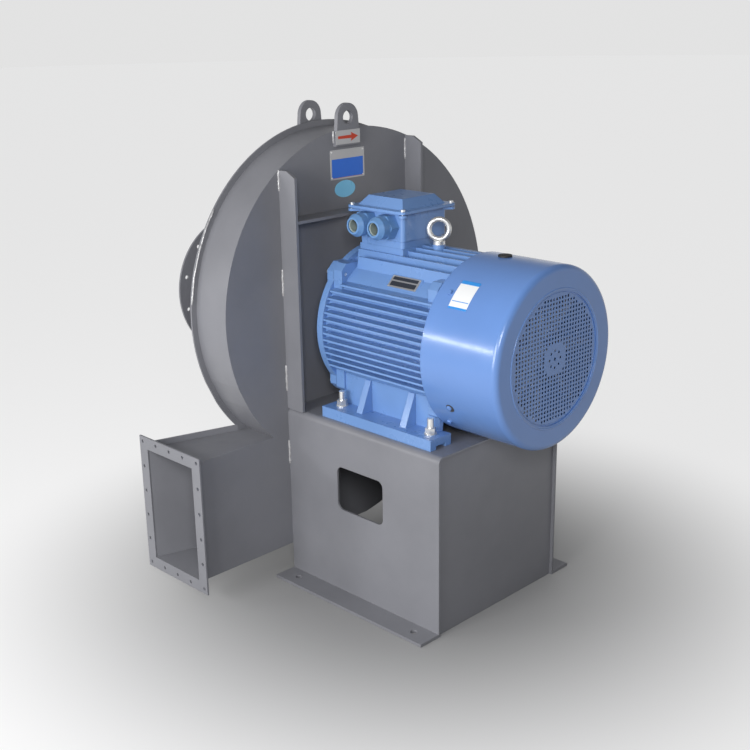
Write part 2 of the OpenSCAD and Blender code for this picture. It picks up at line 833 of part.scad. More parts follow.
// One blade, seen along the shaft
module blade_section() {
    intersection() {
        translate([blade_centre, 0]) difference() {
            circle(blade_bend_r + blade_t / 2, $fn = round_fn * 4);
            circle(blade_bend_r - blade_t / 2, $fn = round_fn * 4);
        }
        translate([-wheel_r, -wheel_r - over]) square([wheel_r + blade_in_r / 2, wheel_r]);
    }
}

module impeller_hub() {
    color("dimgray") difference() {
        turned() polygon([
            [shaft_r + fit_gap, shoulder_x],
            [hub_r, shoulder_x],
            [hub_r, wheel_face_x],
            [hub_flange_r, wheel_face_x],
            [hub_flange_r, wheel_face_x - hub_flange_t],
            [hub_r + hub_flange_t / 2, wheel_face_x - hub_flange_t],
            [hub_r, wheel_face_x - hub_flange_t * 2],
            [hub_r, hub_tip_x],
            [shaft_r + fit_gap, hub_tip_x]]);
        key_space(hub_tip_x - over, shoulder_x - hub_tip_x + over * 2);
        for (i = [1:hub_bolts]) around(wheel_face_x - hub_flange_t - over, i * 360 / hub_bolts, hub_bolt_r)
            cylinder(h = hub_flange_t + over * 2, r = screw_d / 2 + fit_gap, $fn = small_fn);
    }
}

// The bar of space that the key fills, on top of the shaft
module key_space(x, l) {
    translate([x, -key_w / 2, shaft_z + shaft_r - key_sink]) cube([l, key_w, key_h]);
}
key_sink = 6;
key_end = 12;

module hub_bolts_set() {
    bolt_l = disc_t + hub_flange_t + screw_head;
    color("silver") for (i = [1:hub_bolts]) around(disc_x, i * 360 / hub_bolts, hub_bolt_r)
        hex_screw(screw_d, bolt_l, screw_af, screw_head);
    color("silver") for (i = [1:hub_bolts])
        around(wheel_face_x - hub_flange_t - screw_head, i * 360 / hub_bolts, hub_bolt_r) difference() {
            cylinder(h = screw_head, r = hex_r(screw_af), $fn = hex_sides);
            translate([0, 0, -over])
                cylinder(h = screw_head + over * 2, r = screw_d / 2 + fit_gap, $fn = small_fn);
        }
}

module impeller_key() {
    color("dimgray") key_space(shaft_tip_x + key_end, key_l);
}

// Thick washer that holds the hub against the shaft's shoulder
module shaft_end_washer() {
    color("silver") translate([hub_tip_x - end_washer_t, 0, shaft_z]) rotate([0, 90, 0])
        tube(end_washer_t, hub_r - wall_of_seat, stud_d / 2 + fit_gap, round_fn);
}
end_washer_t = 8;

module shaft_end_bolt() {
    color("silver") translate([hub_tip_x - end_washer_t, 0, shaft_z]) rotate([0, -90, 0])
        hex_screw(stud_d, end_bolt_l, stud_nut_af, screw_d);
}
end_bolt_l = 40;

// Motor: turning parts

module motor_shaft() {
    core_x0 = stator_mid - stator_l / 2 - winding_l;
    core_x1 = stator_mid + stator_l / 2 + winding_l;
    color("lightgray") difference() {
        turned() polygon([
            [0, shaft_tip_x],
            [shaft_r - wall_of_seat, shaft_tip_x],
            [shaft_r, shaft_tip_x + wall_of_seat],
            [shaft_r, shoulder_x],
            [seat_r, shoulder_x],
            [seat_r, de_x + bearing_w],
            [core_shaft_r, de_x + bearing_w],
            [core_shaft_r, nde_x],
            [seat_r, nde_x],
            [seat_r, nde_x + bearing_w + cap_t * 2],
            [fan_seat_r, nde_x + bearing_w + cap_t * 2],
            [fan_seat_r, fan_x + fan_hub_l],
            [0, fan_x + fan_hub_l]]);
        key_space(shaft_tip_x + key_end, key_l);
        translate([shaft_tip_x - over, 0, shaft_z]) rotate([0, 90, 0])
            cylinder(h = end_bolt_l + over, r = stud_d / 2 + fit_gap, $fn = small_fn);
    }
}
fan_hub_l = 44;
fan_hub_r = 40;

// Rotor: laminated core with its end rings
module rotor_core() {
    r = stator_bore_r - air_gap;
    color("slategray") turned() {
        translate([core_shaft_r + fit_gap, stator_mid - stator_l / 2])
            square([r - core_shaft_r - fit_gap, stator_l]);
        for (x = [-stator_l / 2 - end_ring_l, stator_l / 2])
            translate([r - end_ring_h, stator_mid + x]) square([end_ring_h - over, end_ring_l]);
    }
}
end_ring_l = 22;
end_ring_h = 32;

// Cooling fan: hub, backing disc and straight blades
module cooling_fan() {
    color("lightsteelblue") {
        turned() {
            translate([fan_seat_r + fit_gap, fan_x]) square([fan_hub_r - fan_seat_r - fit_gap, fan_hub_l]);
            translate([fan_hub_r - over, fan_x]) square([fan_r * fan_disc_share - fan_hub_r + over, fan_web_t]);
        }
        for (i = [1:fan_blades]) translate([0, 0, shaft_z]) rotate([i * 360 / fan_blades, 0, 0])
            translate([0, -fan_web_t / 2, 0]) along_y(0, fan_web_t) polygon([
                [fan_x, fan_hub_r - over],
                [fan_x, fan_r * fan_disc_share],
                [fan_x + fan_web_t, fan_r],
                [fan_x + fan_w, fan_r],
                [fan_x + fan_w, fan_hub_r + fan_w / 2],
                [fan_x + fan_hub_l, fan_hub_r - over]]);
    }
}
fan_disc_share = 0.72;
fan_web_t = 4;

// Ball bearings

module bearing_ring(x, r_in, r_out) {
    turned() difference() {
        translate([r_in, x]) square([r_out - r_in, bearing_w]);
        translate([ball_ring_r, x + bearing_w / 2]) circle(ball_r + ball_play, $fn = small_fn * 2);
    }
}
ring_wall = 11;

module bearing_balls(x) {
    mid = x + bearing_w / 2;
    for (i = [1:balls]) around(mid, i * 360 / balls, ball_ring_r) sphere(ball_r, $fn = small_fn);
    difference() {
        rod(mid - cage_w / 2, cage_w, ball_ring_r + cage_t / 2);
        rod(mid - cage_w / 2 - over, cage_w + over * 2, ball_ring_r - cage_t / 2);
        for (i = [1:balls]) around(mid, i * 360 / balls, ball_ring_r)
            sphere(ball_r + ball_play, $fn = small_fn);
    }
}
cage_w = 25;
cage_t = 4;

module drive_bearing_outer_ring() {
    color("silver") bearing_ring(de_x, bearing_r - ring_wall, bearing_r - fit_gap);
}

module drive_bearing_inner_ring() {
    color("silver") bearing_ring(de_x, seat_r + fit_gap, seat_r + ring_wall);
}

module drive_bearing_balls() {
    color("lightgray") bearing_balls(de_x);
}

module rear_bearing_outer_ring() {
    color("silver") bearing_ring(nde_x, bearing_r - ring_wall, bearing_r - fit_gap);
}

module rear_bearing_inner_ring() {
    color("silver") bearing_ring(nde_x, seat_r + fit_gap, seat_r + ring_wall);
}

module rear_bearing_balls() {
    color("lightgray") bearing_balls(nde_x);
}

// Motor: standing parts

// One fin: drawn in X and radius, its front end sloped; x0 and x1 are its ends, at its distance from the middle
module fin(x0, x1, at) {
    tip = sqrt(pow(fin_r, 2) - pow(at, 2));
    root = barrel_r * fin_root_share;
    translate([0, 0, at - fin_t / 2]) linear_extrude(fin_t) polygon([
        [x0, root],
        [x0 + fin_slope, tip],
        [x1, tip],
        [x1, root]]);
}

// All fins about the shaft: the outermost top fins and uppermost side fins run between the lugs
module fins() {
    between = frame_front + corner_l;
    for (s = [0, 1], i = [0:side_fins - 1]) mirror([0, s, 0])
        fin(i == side_fins - 1 ? between : frame_front + fin_back, frame_end - fin_back,
            (i - (side_fins - 1) / 2) * side_fin_pitch + side_fin_rise);
    for (s = [0, 1], i = [0:top_fins - 1]) mirror([0, 0, s]) rotate([90, 0, 0])
        fin(abs(i - (top_fins - 1) / 2) == (top_fins - 1) / 2 ? between : frame_front + fin_back,
            frame_end - fin_back, (i - (top_fins - 1) / 2) * top_fin_pitch);
}
fin_root_share = 0.7;
fin_back = 3;

// Section of the four corner lugs about the shaft, kept inside radius r
module corner_section(r) {
    intersection() {
        circle(r, $fn = round_fn * 2);
        for (y = [0, 1], z = [0, 1]) mirror([y, 0]) mirror([0, z]) polygon([
            [corner_in, corner_low],
            [corner_y, corner_low],
            [corner_y, corner_z - corner_chamfer],
            [corner_y - corner_chamfer, corner_z],
            [corner_in, corner_z]]);
    }
}

// Leg: wall from the foot up to the barrel, drawn in Y and Z on the +Y side
module leg_section(out) {
    polygon([
        [foot_span / 2 - foot_w, pedestal_h + foot_t - over],
        [foot_span / 2 - foot_w + out, pedestal_h + foot_t - over],
        [barrel_r * leg_y_share + out * leg_top_share, shaft_z - barrel_r * leg_z_share],
        [barrel_r * leg_y_share - leg_wall, shaft_z - barrel_r * leg_z_share]]);
}
leg_y_share = 0.8;
leg_z_share = 0.6;
leg_top_share = 0.08;
leg_wall = 26;
leg_out = 12;
gusset_out = 52;
gusset_at_share = [0.3, 0.7];
relief_w = 34;
relief_h = 9;

module motor_frame() {
    color("cornflowerblue") difference() {
        union() {
            rod(frame_front, frame_end - frame_front, barrel_r, round_fn * 2);
            translate([0, 0, shaft_z]) fins();
            for (x = [frame_front + lug_inset, frame_end - corner_l - lug_inset])
                across(x, corner_l) translate([0, shaft_z]) corner_section(cowl_r);
            for (s = [0, 1]) mirror([0, s, 0]) {
                translate([foot_x, foot_span / 2 - foot_w, pedestal_h]) cube([foot_l, foot_w, foot_t]);
                across(foot_x + gusset_t, frame_end - lug_inset - foot_x - gusset_t) leg_section(leg_out);
                for (g = gusset_at_share)
                    across(foot_x + foot_l * g - gusset_t / 2, gusset_t) leg_section(gusset_out);
            }
            translate([box_mid - neck_w / 2, -neck_w / 2, shaft_z + barrel_r * neck_low_share])
                cube([neck_w, neck_w, fin_r - barrel_r * neck_low_share]);
            translate([face_x + eyebolt_x, 0, shaft_z + barrel_in_r + over])
                cylinder(h = eye_boss_top - barrel_in_r - over, r = stud_d, $fn = small_fn);
        }
        rod(frame_front - over, frame_end - frame_front + over * 2, barrel_in_r, round_fn * 2);
        translate([box_mid - neck_hole / 2, -neck_hole / 2, shaft_z]) cube([neck_hole, neck_hole, far]);
        translate([face_x + eyebolt_x, 0, shaft_z + eye_boss_top - eye_thread])
            cylinder(h = eye_thread + over, r = stud_d / 2 + fit_gap, $fn = small_fn);
        for (x = [0, foot_pitch_x], y = [-1, 1])
            translate([foot_bolt_x + x, y * foot_pitch_y / 2, pedestal_h - over])
                cylinder(h = foot_t + over * 2, r = stud_d / 2 + wall_of_seat, $fn = small_fn);
        for (s = [-1, 1])
            translate([foot_x - over, s * (foot_span / 2 - foot_w / 2) - relief_w / 2, pedestal_h - over])
                cube([foot_bolt_c / 2, relief_w, relief_h + over]);
        for (s = [-1, 1])
            translate([foot_x + foot_l - foot_bolt_c / 2 + over,
                s * (foot_span / 2 - foot_w / 2) - relief_w / 2, pedestal_h - over])
                cube([foot_bolt_c / 2, relief_w, relief_h + over]);
        for (a = lug_angles) {
            around(frame_front - over, a, front_bolt_at)
                cylinder(h = corner_l + over * 2, r = screw_d / 2 + fit_gap, $fn = small_fn);
            around(frame_end - corner_l, a, rear_bolt_at)
                cylinder(h = corner_l + over, r = screw_d / 2 + fit_gap, $fn = small_fn);
        }
    }
}
neck_low_share = 0.8;
neck_hole = 80;
eye_thread = 26;

module stator_core() {
    color("slategray") turned() translate([stator_bore_r, stator_mid - stator_l / 2])
        square([barrel_in_r - stator_bore_r - fit_gap, stator_l]);
}

// Winding heads at both ends of the core, with rounded outer corners
module stator_windings() {
    h = barrel_in_r - stator_bore_r - winding_gap * 2;
    color("peru") turned() for (x = [-stator_l / 2 - winding_l, stator_l / 2])
        translate([stator_bore_r + winding_gap + h / 2, stator_mid + x + winding_l / 2])
            square([h, winding_l], center = true);
}
winding_gap = 9;

// End shield, drawn for the drive end: x counts from the bearing inward to the frame
module shield(x, inward, frame_at, bolt_at) {
    s = inward;
    seat_end = x + s * bearing_w;
    flange_x = min(frame_at, frame_at - s * shield_flange_t);
    difference() {
        union() {
            turned() polygon([
                [bearing_r, x],
                [shield_hub_r, x],
                [shield_hub_r, x + s * shield_wall],
                [shield_r - shield_flange_t, frame_at - s * shield_flange_t],
                [shield_r - shield_edge, frame_at - s * shield_flange_t],
                [shield_r, frame_at - s * (shield_flange_t - shield_edge)],
                [shield_r, frame_at],
                [barrel_in_r - fit_gap, frame_at],
                [barrel_in_r - fit_gap, frame_at + s * shield_spigot],
                [barrel_in_r - shield_wall, frame_at + s * shield_spigot],
                [shield_r - shield_flange_t * 2, frame_at],
                [shield_hub_r, x + s * shield_wall * 2],
                [shield_hub_r - shield_wall, seat_end],
                [bearing_r, seat_end]]);
            across(flange_x + lug_inset, shield_flange_t - lug_inset * 2) difference() {
                translate([0, shaft_z]) corner_section(cowl_r - cowl_t - seat_gap * 2);
                translate([0, shaft_z]) circle(shield_r - shield_edge * 2, $fn = round_fn * 2);
            }
        }
        for (a = lug_angles) around(flange_x - over, a, bolt_at)
            cylinder(h = shield_flange_t + over * 2, r = screw_d / 2 + fit_gap, $fn = small_fn);
    }
}

module drive_end_shield() {
    color("cornflowerblue") shield(de_x, 1, frame_front, front_bolt_at);
}

// The far shield also carries four posts for the cowl's screws
module rear_end_shield() {
    post_out = cowl_r - cowl_t - seat_gap * 2;
    color("cornflowerblue") difference() {
        union() {
            shield(nde_x + bearing_w, -1, frame_end, rear_bolt_at);
            for (a = lug_angles) translate([frame_end + shield_flange_t - over, 0, shaft_z]) rotate([a, 0, 0])
                translate([0, post_in, -post_w / 2])
                    cube([post_l + over, post_out - post_in - lug_inset, post_w]);
        }
        for (a = lug_angles) translate([cowl_screw_x, 0, shaft_z]) rotate([a, 0, 0])
            translate([0, post_in - over, 0]) rotate([-90, 0, 0])
                cylinder(h = cowl_r - post_in + over, r = small_d / 2 + fit_gap, $fn = small_fn);
    }
}
post_in = 203;
post_w = 16;
post_l = 28;

// Cap over a bearing, with a bore that clears the shaft
module bearing_cap(x) {
    across(x, cap_t) translate([0, shaft_z]) difference() {
        circle(cap_r, $fn = round_fn);
        circle(seat_r + wall_of_seat / 2, $fn = round_fn);
    }
}

module drive_end_cap() {
    color("cornflowerblue") bearing_cap(de_x - cap_t);
}

module rear_end_cap() {
    color("cornflowerblue") bearing_cap(nde_x + bearing_w);
}

module shield_bolts() {
    bolt_l = shield_flange_t + corner_l - over;
    color("silver") for (a = lug_angles) {
        around(frame_front - shield_flange_t, a, front_bolt_at)
            mirror([0, 0, 1]) hex_screw(screw_d, bolt_l, screw_af, screw_head);
        around(frame_end + shield_flange_t, a, rear_bolt_at)
            hex_screw(screw_d, bolt_l, screw_af, screw_head);
    }
}

// Fan cowl: drawn sheet cup with a rounded edge, a round opening and a bead round it
module fan_cowl() {
    r = cowl_r;
    x = cowl_end;
    color("cornflowerblue") difference() {
        turned() {
            translate([r - cowl_t, cowl_front]) square([cowl_t, x - cowl_round - cowl_front]);
            translate([grille_r, x - cowl_t]) square([r - cowl_round - grille_r, cowl_t]);
            intersection() {
                translate([r - cowl_round, x - cowl_round]) difference() {
                    circle(cowl_round, $fn = round_fn);
                    circle(cowl_round - cowl_t, $fn = round_fn);
                }
                translate([r - cowl_round, x - cowl_round]) square([cowl_round, cowl_round]);
            }
            intersection() {
                translate([grille_r + bead_r * 2, x - cowl_t / 2]) circle(bead_r, $fn = small_fn);
                translate([grille_r, x - cowl_t / 2]) square([bead_r * 4, bead_r]);
            }
        }
        for (a = lug_angles) translate([cowl_screw_x, 0, shaft_z]) rotate([a, 0, 0])
            translate([0, cowl_r - cowl_t - over, 0]) rotate([-90, 0, 0])
                cylinder(h = cowl_t + over * 2, r = small_d / 2 + fit_gap, $fn = small_fn);
        translate([plug_x, 0, shaft_z + cowl_r - cowl_t - over])
            cylinder(h = cowl_t + over * 2, r = plug_d / 2 - plug_lip + fit_gap, $fn = small_fn);
    }
}
bead_r = 3;
cowl_screw_x = frame_end + shield_flange_t + post_l / 2;
cowl_screw_l = 12;
plug_x = face_x + plug_at;
plug_lip = 4;

// Perforated disc behind the cowl's opening: square holes round a plain middle
module cowl_grille() {
    half = grille_hole / 2;
    n = ceil(grille_r / min(grille_pitch_y, grille_pitch_z));
    x = cowl_end - cowl_t - grille_t;
    color("cornflowerblue") across(x, grille_t) translate([0, shaft_z]) difference() {
        circle(grille_r + grille_lap, $fn = round_fn);
        for (i = [-n:n], j = [-n:n])
            let (y = i * grille_pitch_y, z = j * grille_pitch_z, d = norm([y, z]))
                if (d < grille_r - grille_hole && d > grille_blank_r + grille_hole)
                    translate([y - half, z - half]) square(grille_hole);
        for (i = [1:grille_mid_holes]) rotate(i * 360 / grille_mid_holes)
            translate([grille_mid_r, 0]) circle(half, $fn = small_fn);
        circle(grille_hole, $fn = small_fn);
    }
}
grille_lap = 6;
grille_mid_holes = 8;
grille_mid_r = 20;

module cowl_screws() {
    color("cornflowerblue") for (a = lug_angles) translate([cowl_screw_x, 0, shaft_z]) rotate([a, 0, 0])
        translate([0, cowl_r, 0]) rotate([-90, 0, 0])
            round_screw(small_d, cowl_screw_l, small_head_d, small_head);
}

module cowl_plug() {
    color("black") translate([plug_x, 0, shaft_z + cowl_r]) {
        cylinder(h = plug_lip, r = plug_d / 2, $fn = small_fn);
        translate([0, 0, -cowl_t - plug_lip])
            cylinder(h = cowl_t + plug_lip * 2, r = plug_d / 2 - plug_lip, $fn = small_fn);
    }
}

// Terminal box

// Cast neck from the frame up to the box, open in the middle for the leads
module terminal_box_neck() {
    low = shaft_z + fin_r;
    color("cornflowerblue") translate([box_mid, 0, low]) linear_extrude(box_z - low) difference() {
        rounded_rect(neck_w, neck_w, box_corner_r);
        rounded_rect(neck_hole, neck_hole, box_corner_r);
    }
}

module terminal_box_body() {
    color("cornflowerblue") difference() {
        union() {
            translate([box_mid, 0, box_z]) linear_extrude(box_h) rounded_rect(box_w, box_w, box_corner_r);
            translate([box_mid, 0, body_top - lid_flange_t]) linear_extrude(lid_flange_t) box_ears();
        }
        translate([box_mid, 0, box_z + box_t]) linear_extrude(box_h)
            rounded_rect(box_w - box_t * 2, box_w - box_t * 2, box_corner_r - box_t / 2);
        translate([box_mid, 0, box_z - over]) linear_extrude(box_h)
            rounded_rect(neck_hole, neck_hole, box_corner_r);
        for (s = [-1, 1]) translate([box_mid + s * gland_pitch / 2, over - box_w / 2 + box_t, gland_z])
            rotate([90, 0, 0]) cylinder(h = box_t + over * 2, r = gland_thread_r + fit_gap, $fn = small_fn * 2);
        lid_screw_places() translate([0, 0, -lid_flange_t * 2])
            cylinder(h = lid_flange_t * 3, r = small_d / 2 + fit_gap, $fn = small_fn);
    }
}
gland_z_share = 0.52;
gland_z = box_z + box_h * gland_z_share;
gland_thread_r = gland_d / 2 - over;

// Corner ears of the box, joined by its own outline
module box_ears() {
    intersection() {
        rounded_rect(lid_w, lid_w, box_corner_r);
        union() for (a = [0:3]) rotate(a * 90 + 45) translate([0, -ear_r]) square([lid_w, ear_r * 2]);
    }
}

module lid_screw_places() {
    at = lid_w / 2 - lid_screw_inset;
    for (x = [-1, 1], y = [-1, 1]) translate([box_mid + x * at, y * at, lid_z]) children();
}

module terminal_box_gasket() {
    color("dimgray") translate([box_mid, 0, body_top]) linear_extrude(gasket_t) difference() {
        rounded_rect(box_w, box_w, box_corner_r);
        rounded_rect(box_w - box_t * 2, box_w - box_t * 2, box_corner_r - box_t / 2);
    }
}

// Lid: flange with a raised middle whose four sides slope in
module terminal_box_lid() {
    low_w = box_w;
    top_w = box_w - lid_slope * 2;
    color("cornflowerblue") difference() {
        union() {
            translate([box_mid, 0, lid_z]) linear_extrude(lid_flange_t)
                rounded_rect(lid_w, lid_w, box_corner_r);
            frustum(low_w, top_w, lid_z + lid_flange_t / 2, lid_rise + lid_flange_t / 2);
        }
        frustum(low_w - box_t * 3, top_w - box_t * 2, lid_z - over, lid_rise + lid_flange_t - box_t + over);
        lid_screw_places() translate([0, 0, -over])
            cylinder(h = lid_flange_t + over * 2, r = small_d / 2 + fit_gap, $fn = small_fn);
    }
}

// A square block whose four sides slope, over the terminal box
module frustum(low_w, top_w, z, h) {
    shape = [[-low_w / 2, z], [low_w / 2, z], [top_w / 2, z + h], [-top_w / 2, z + h]];
    intersection() {
        along_y(-low_w / 2, low_w) translate([box_mid, 0]) polygon(shape);
        across(box_mid - low_w / 2, low_w) polygon(shape);
    }
}

module terminal_box_lid_screws() {
    color("silver") lid_screw_places() translate([0, 0, lid_flange_t])
        round_screw(small_d, lid_flange_t + lid_flange_t, small_head_d, small_head);
}

// Terminal board with its six studs
module terminal_board() {
    color("sienna") translate([box_mid, 0, box_z + box_t])
        linear_extrude(board_t) square([board_l, board_w], center = true);
    color("goldenrod") for (i = [-1:1], j = [-1, 1])
        translate([box_mid + i * board_l / 3, j * board_w / 4, box_z + box_t + board_t])
            cylinder(h = board_stud_h, r = small_d / 2, $fn = small_fn);
}
board_t = 10;
board_l = 110;
board_w = 84;
board_stud_h = 22;

// Cable glands: body hexagon on the box, dome nut with an open bore
module cable_glands() {
    color("steelblue") for (s = [-1, 1])
        translate([box_mid + s * gland_pitch / 2, -box_w / 2, gland_z]) rotate([90, 0, 0]) difference() {
            union() {
                translate([0, 0, -box_t - gland_nut_h])
                    cylinder(h = gland_l - gland_dome, r = gland_thread_r, $fn = small_fn * 2);
                cylinder(h = gland_l * hex_share, r = hex_r(gland_af), $fn = hex_sides);
                rotate_extrude($fn = small_fn * 2) polygon([
                    [0, gland_l * hex_share],
                    [gland_d / 2 + over, gland_l * hex_share],
                    [gland_d / 2 + over, gland_l - gland_dome],
                    [gland_d / 2 - gland_dome / 2, gland_l],
                    [0, gland_l]]);
            }
            translate([0, 0, -far / 2]) cylinder(h = far, r = gland_bore_d / 2, $fn = small_fn * 2);
        }
}
hex_share = 0.45;
gland_dome = 12;
gland_nut_h = 8;

module gland_locknuts() {
    color("silver") for (s = [-1, 1])
        translate([box_mid + s * gland_pitch / 2, box_t - box_w / 2 + gland_nut_h, gland_z]) rotate([90, 0, 0])
            difference() {
                cylinder(h = gland_nut_h, r = hex_r(gland_af), $fn = hex_sides);
                translate([0, 0, -over])
                    cylinder(h = gland_nut_h + over * 2, r = gland_thread_r + fit_gap, $fn = small_fn * 2);
            }
}

// Eyebolt: ring, collar and threaded shank
module eyebolt() {
    base = shaft_z + eye_boss_top;
    color("silver") translate([face_x + eyebolt_x, 0, base]) {
        translate([0, 0, -eye_thread]) cylinder(h = eye_thread + collar_h, r = stud_d / 2, $fn = small_fn);
        cylinder(h = collar_h, r = collar_r, $fn = small_fn);
        translate([0, 0, collar_h + ring_d / 2 - over]) rotate([90, 0, ring_turn])
            rotate_extrude($fn = round_fn) translate([ring_d / 2 - ring_t / 2, 0])
                circle(ring_t / 2, $fn = small_fn);
    }
}
collar_h = 9;
collar_r = 15;
ring_turn = 40;

// Foot fasteners

module foot_places() {
    for (x = [0, foot_pitch_x], y = [-1, 1]) translate([foot_bolt_x + x, y * foot_pitch_y / 2, 0]) children();
}

// Bolts put in from below, with their heads under the pedestal's top
module foot_bolts() {
    low = pedestal_h - pedestal_t;
    color("silver") foot_places() {
        translate([0, 0, low - screw_d]) cylinder(h = screw_d, r = hex_r(stud_nut_af), $fn = hex_sides);
        translate([0, 0, low - screw_d / 2])
            cylinder(h = pedestal_t + foot_t + stud_top + screw_d / 2, r = stud_d / 2, $fn = small_fn);
    }
}

module foot_washers() {
    color("silver") foot_places() translate([0, 0, pedestal_h + foot_t])
        tube(washer_t, washer_d / 2, stud_d / 2 + fit_gap);
}

module foot_nuts() {
    color("silver") foot_places() translate([0, 0, pedestal_h + foot_t + washer_t]) difference() {
        cylinder(h = stud_nut_h, r = hex_r(stud_nut_af), $fn = hex_sides);
        translate([0, 0, -over]) cylinder(h = stud_nut_h + over * 2, r = stud_d / 2 + fit_gap, $fn = small_fn);
    }
}

pedestal_shell();
pedestal_end_plate();
rib_front();
rib_rear();
rib_bar();
casing_back_plate();
casing_inlet_plate();
scroll_wrapper();
outlet_flange();
lifting_lug_motor_side();
lifting_lug_inlet_side();
shaft_seal();
shaft_seal_screws();
inlet_ring();
inlet_ring_bolts();
inlet_pipe();
inlet_flange();
inlet_cone();
impeller_back_disc();
impeller_shroud();
impeller_blades();
impeller_hub();
hub_bolts_set();
impeller_key();
shaft_end_washer();
shaft_end_bolt();
motor_shaft();
rotor_core();
motor_frame();
stator_core();
stator_windings();
drive_end_shield();
drive_end_cap();
rear_end_shield();
rear_end_cap();
shield_bolts();
drive_bearing_outer_ring();
drive_bearing_inner_ring();
drive_bearing_balls();
rear_bearing_outer_ring();
rear_bearing_inner_ring();
rear_bearing_balls();
cooling_fan();
fan_cowl();
cowl_grille();
cowl_screws();
cowl_plug();
terminal_box_neck();
terminal_box_body();
terminal_box_gasket();
terminal_box_lid();
terminal_box_lid_screws();
terminal_board();
cable_glands();
gland_locknuts();
eyebolt();
foot_bolts();
foot_washers();
foot_nuts();
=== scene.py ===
import json
import math
import random

import bmesh
import bpy
from mathutils import Matrix, Vector

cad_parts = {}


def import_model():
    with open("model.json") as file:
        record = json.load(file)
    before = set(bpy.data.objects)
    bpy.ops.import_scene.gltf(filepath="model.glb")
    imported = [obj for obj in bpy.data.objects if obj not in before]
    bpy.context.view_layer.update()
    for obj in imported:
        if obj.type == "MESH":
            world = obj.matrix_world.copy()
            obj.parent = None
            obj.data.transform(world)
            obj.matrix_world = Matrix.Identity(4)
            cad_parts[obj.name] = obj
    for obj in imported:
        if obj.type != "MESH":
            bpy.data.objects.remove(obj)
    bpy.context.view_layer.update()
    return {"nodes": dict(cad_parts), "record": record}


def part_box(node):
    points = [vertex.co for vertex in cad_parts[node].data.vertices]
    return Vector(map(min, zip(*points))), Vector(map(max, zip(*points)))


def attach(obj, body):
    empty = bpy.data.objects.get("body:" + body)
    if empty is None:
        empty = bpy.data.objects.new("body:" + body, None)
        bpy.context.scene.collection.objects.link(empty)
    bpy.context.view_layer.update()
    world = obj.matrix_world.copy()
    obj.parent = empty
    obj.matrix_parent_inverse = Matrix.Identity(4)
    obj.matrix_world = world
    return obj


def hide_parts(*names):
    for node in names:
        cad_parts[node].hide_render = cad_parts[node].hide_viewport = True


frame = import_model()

NODES = frame["nodes"]

# Main places of the object, in metres: the casing's motor-side face, the shaft's height, the cowl's end
# and its radius
FACE_X = -0.271
SHAFT_Z = 0.703
COWL_END_X = FACE_X + 0.700
COWL_R = 0.224

# The photo's camera, solved from its straight edges: azimuth, elevation and roll in degrees, the point it looks
# at, its distance, and its lens in mm with its shifts
CAM_ANGLES = (45.303, 17.950, -1.0025)
CAM_TARGET = (0.0818 + FACE_X, 0, 0.518)
CAM_DISTANCE = 3.2297
CAM_LENS, CAM_SENSOR = 56.32, 36.0
CAM_SHIFT = (0.0049, 0.0066)

# A noise's own roughness and the middle part of its range; the paint's grain, as its noise's scale and its
# depth in metres; the paint's changes in roughness, as their noise's scale and their share of it
NOISE_ROUGHNESS, NOISE_LOW, NOISE_HIGH = 0.55, 0.35, 0.65
GRAIN_SCALE, GRAIN_DEPTH = 700.0, 0.0004
ROUGH_SCALE, ROUGH_SPREAD = 22.0, 0.12
COAT_ROUGHNESS, SPECULAR = 0.12, 0.5
BEVEL_SAMPLES = 4

# Points nearer than this are one point, in metres
TINY = 1e-6


# ---------------------------------------------------------------- camera
def set_camera():
    az, el, roll = (math.radians(a) for a in CAM_ANGLES)
    back = Vector((math.sin(az) * math.cos(el), -math.cos(az) * math.cos(el), math.sin(el)))
    right = (-back).cross(Vector((0, 0, 1))).normalized()
    up = back.cross(right).normalized()
    r2 = right * math.cos(roll) + up * math.sin(roll)
    u2 = -right * math.sin(roll) + up * math.cos(roll)
    place = Vector(CAM_TARGET) + back * CAM_DISTANCE
    cam = bpy.data.cameras.new("camera")
    cam.sensor_width = CAM_SENSOR
    cam.lens = CAM_LENS
    cam.shift_x, cam.shift_y = CAM_SHIFT
    cam.clip_start = 0.1
    cam.clip_end = 60.0
    ob = bpy.data.objects.new("camera", cam)
    ob.matrix_world = Matrix(((r2.x, u2.x, back.x, place.x), (r2.y, u2.y, back.y, place.y),
                              (r2.z, u2.z, back.z, place.z), (0, 0, 0, 1)))
    bpy.context.scene.collection.objects.link(ob)
    bpy.context.scene.camera = ob


set_camera()


# ---------------------------------------------------------------- materials
def tree(name):
    m = bpy.data.materials.new(name)
    m.use_nodes = True
    nt = m.node_tree
    for n in list(nt.nodes):
        if n.type != "OUTPUT_MATERIAL":
            nt.nodes.remove(n)
    out = nt.nodes[0]
    bsdf = nt.nodes.new("ShaderNodeBsdfPrincipled")
    nt.links.new(bsdf.outputs[0], out.inputs[0])
    return m, nt, bsdf


def coords(nt):
    return nt.nodes.new("ShaderNodeTexCoord").outputs["Object"]


def noise(nt, vec, scale, detail):
    n = nt.nodes.new("ShaderNodeTexNoise")
    n.inputs["Scale"].default_value = scale
    n.inputs["Detail"].default_value = detail
    n.inputs["Roughness"].default_value = NOISE_ROUGHNESS
    nt.links.new(vec, n.inputs["Vector"])
    return n.outputs["Fac"]


def spread(nt, fac, lo, hi, a, b):
    n = nt.nodes.new("ShaderNodeMapRange")
    nt.links.new(fac, n.inputs["Value"])
    for k, v in zip(("From Min", "From Max", "To Min", "To Max"), (lo, hi, a, b)):
        n.inputs[k].default_value = v
    return n.outputs["Result"]


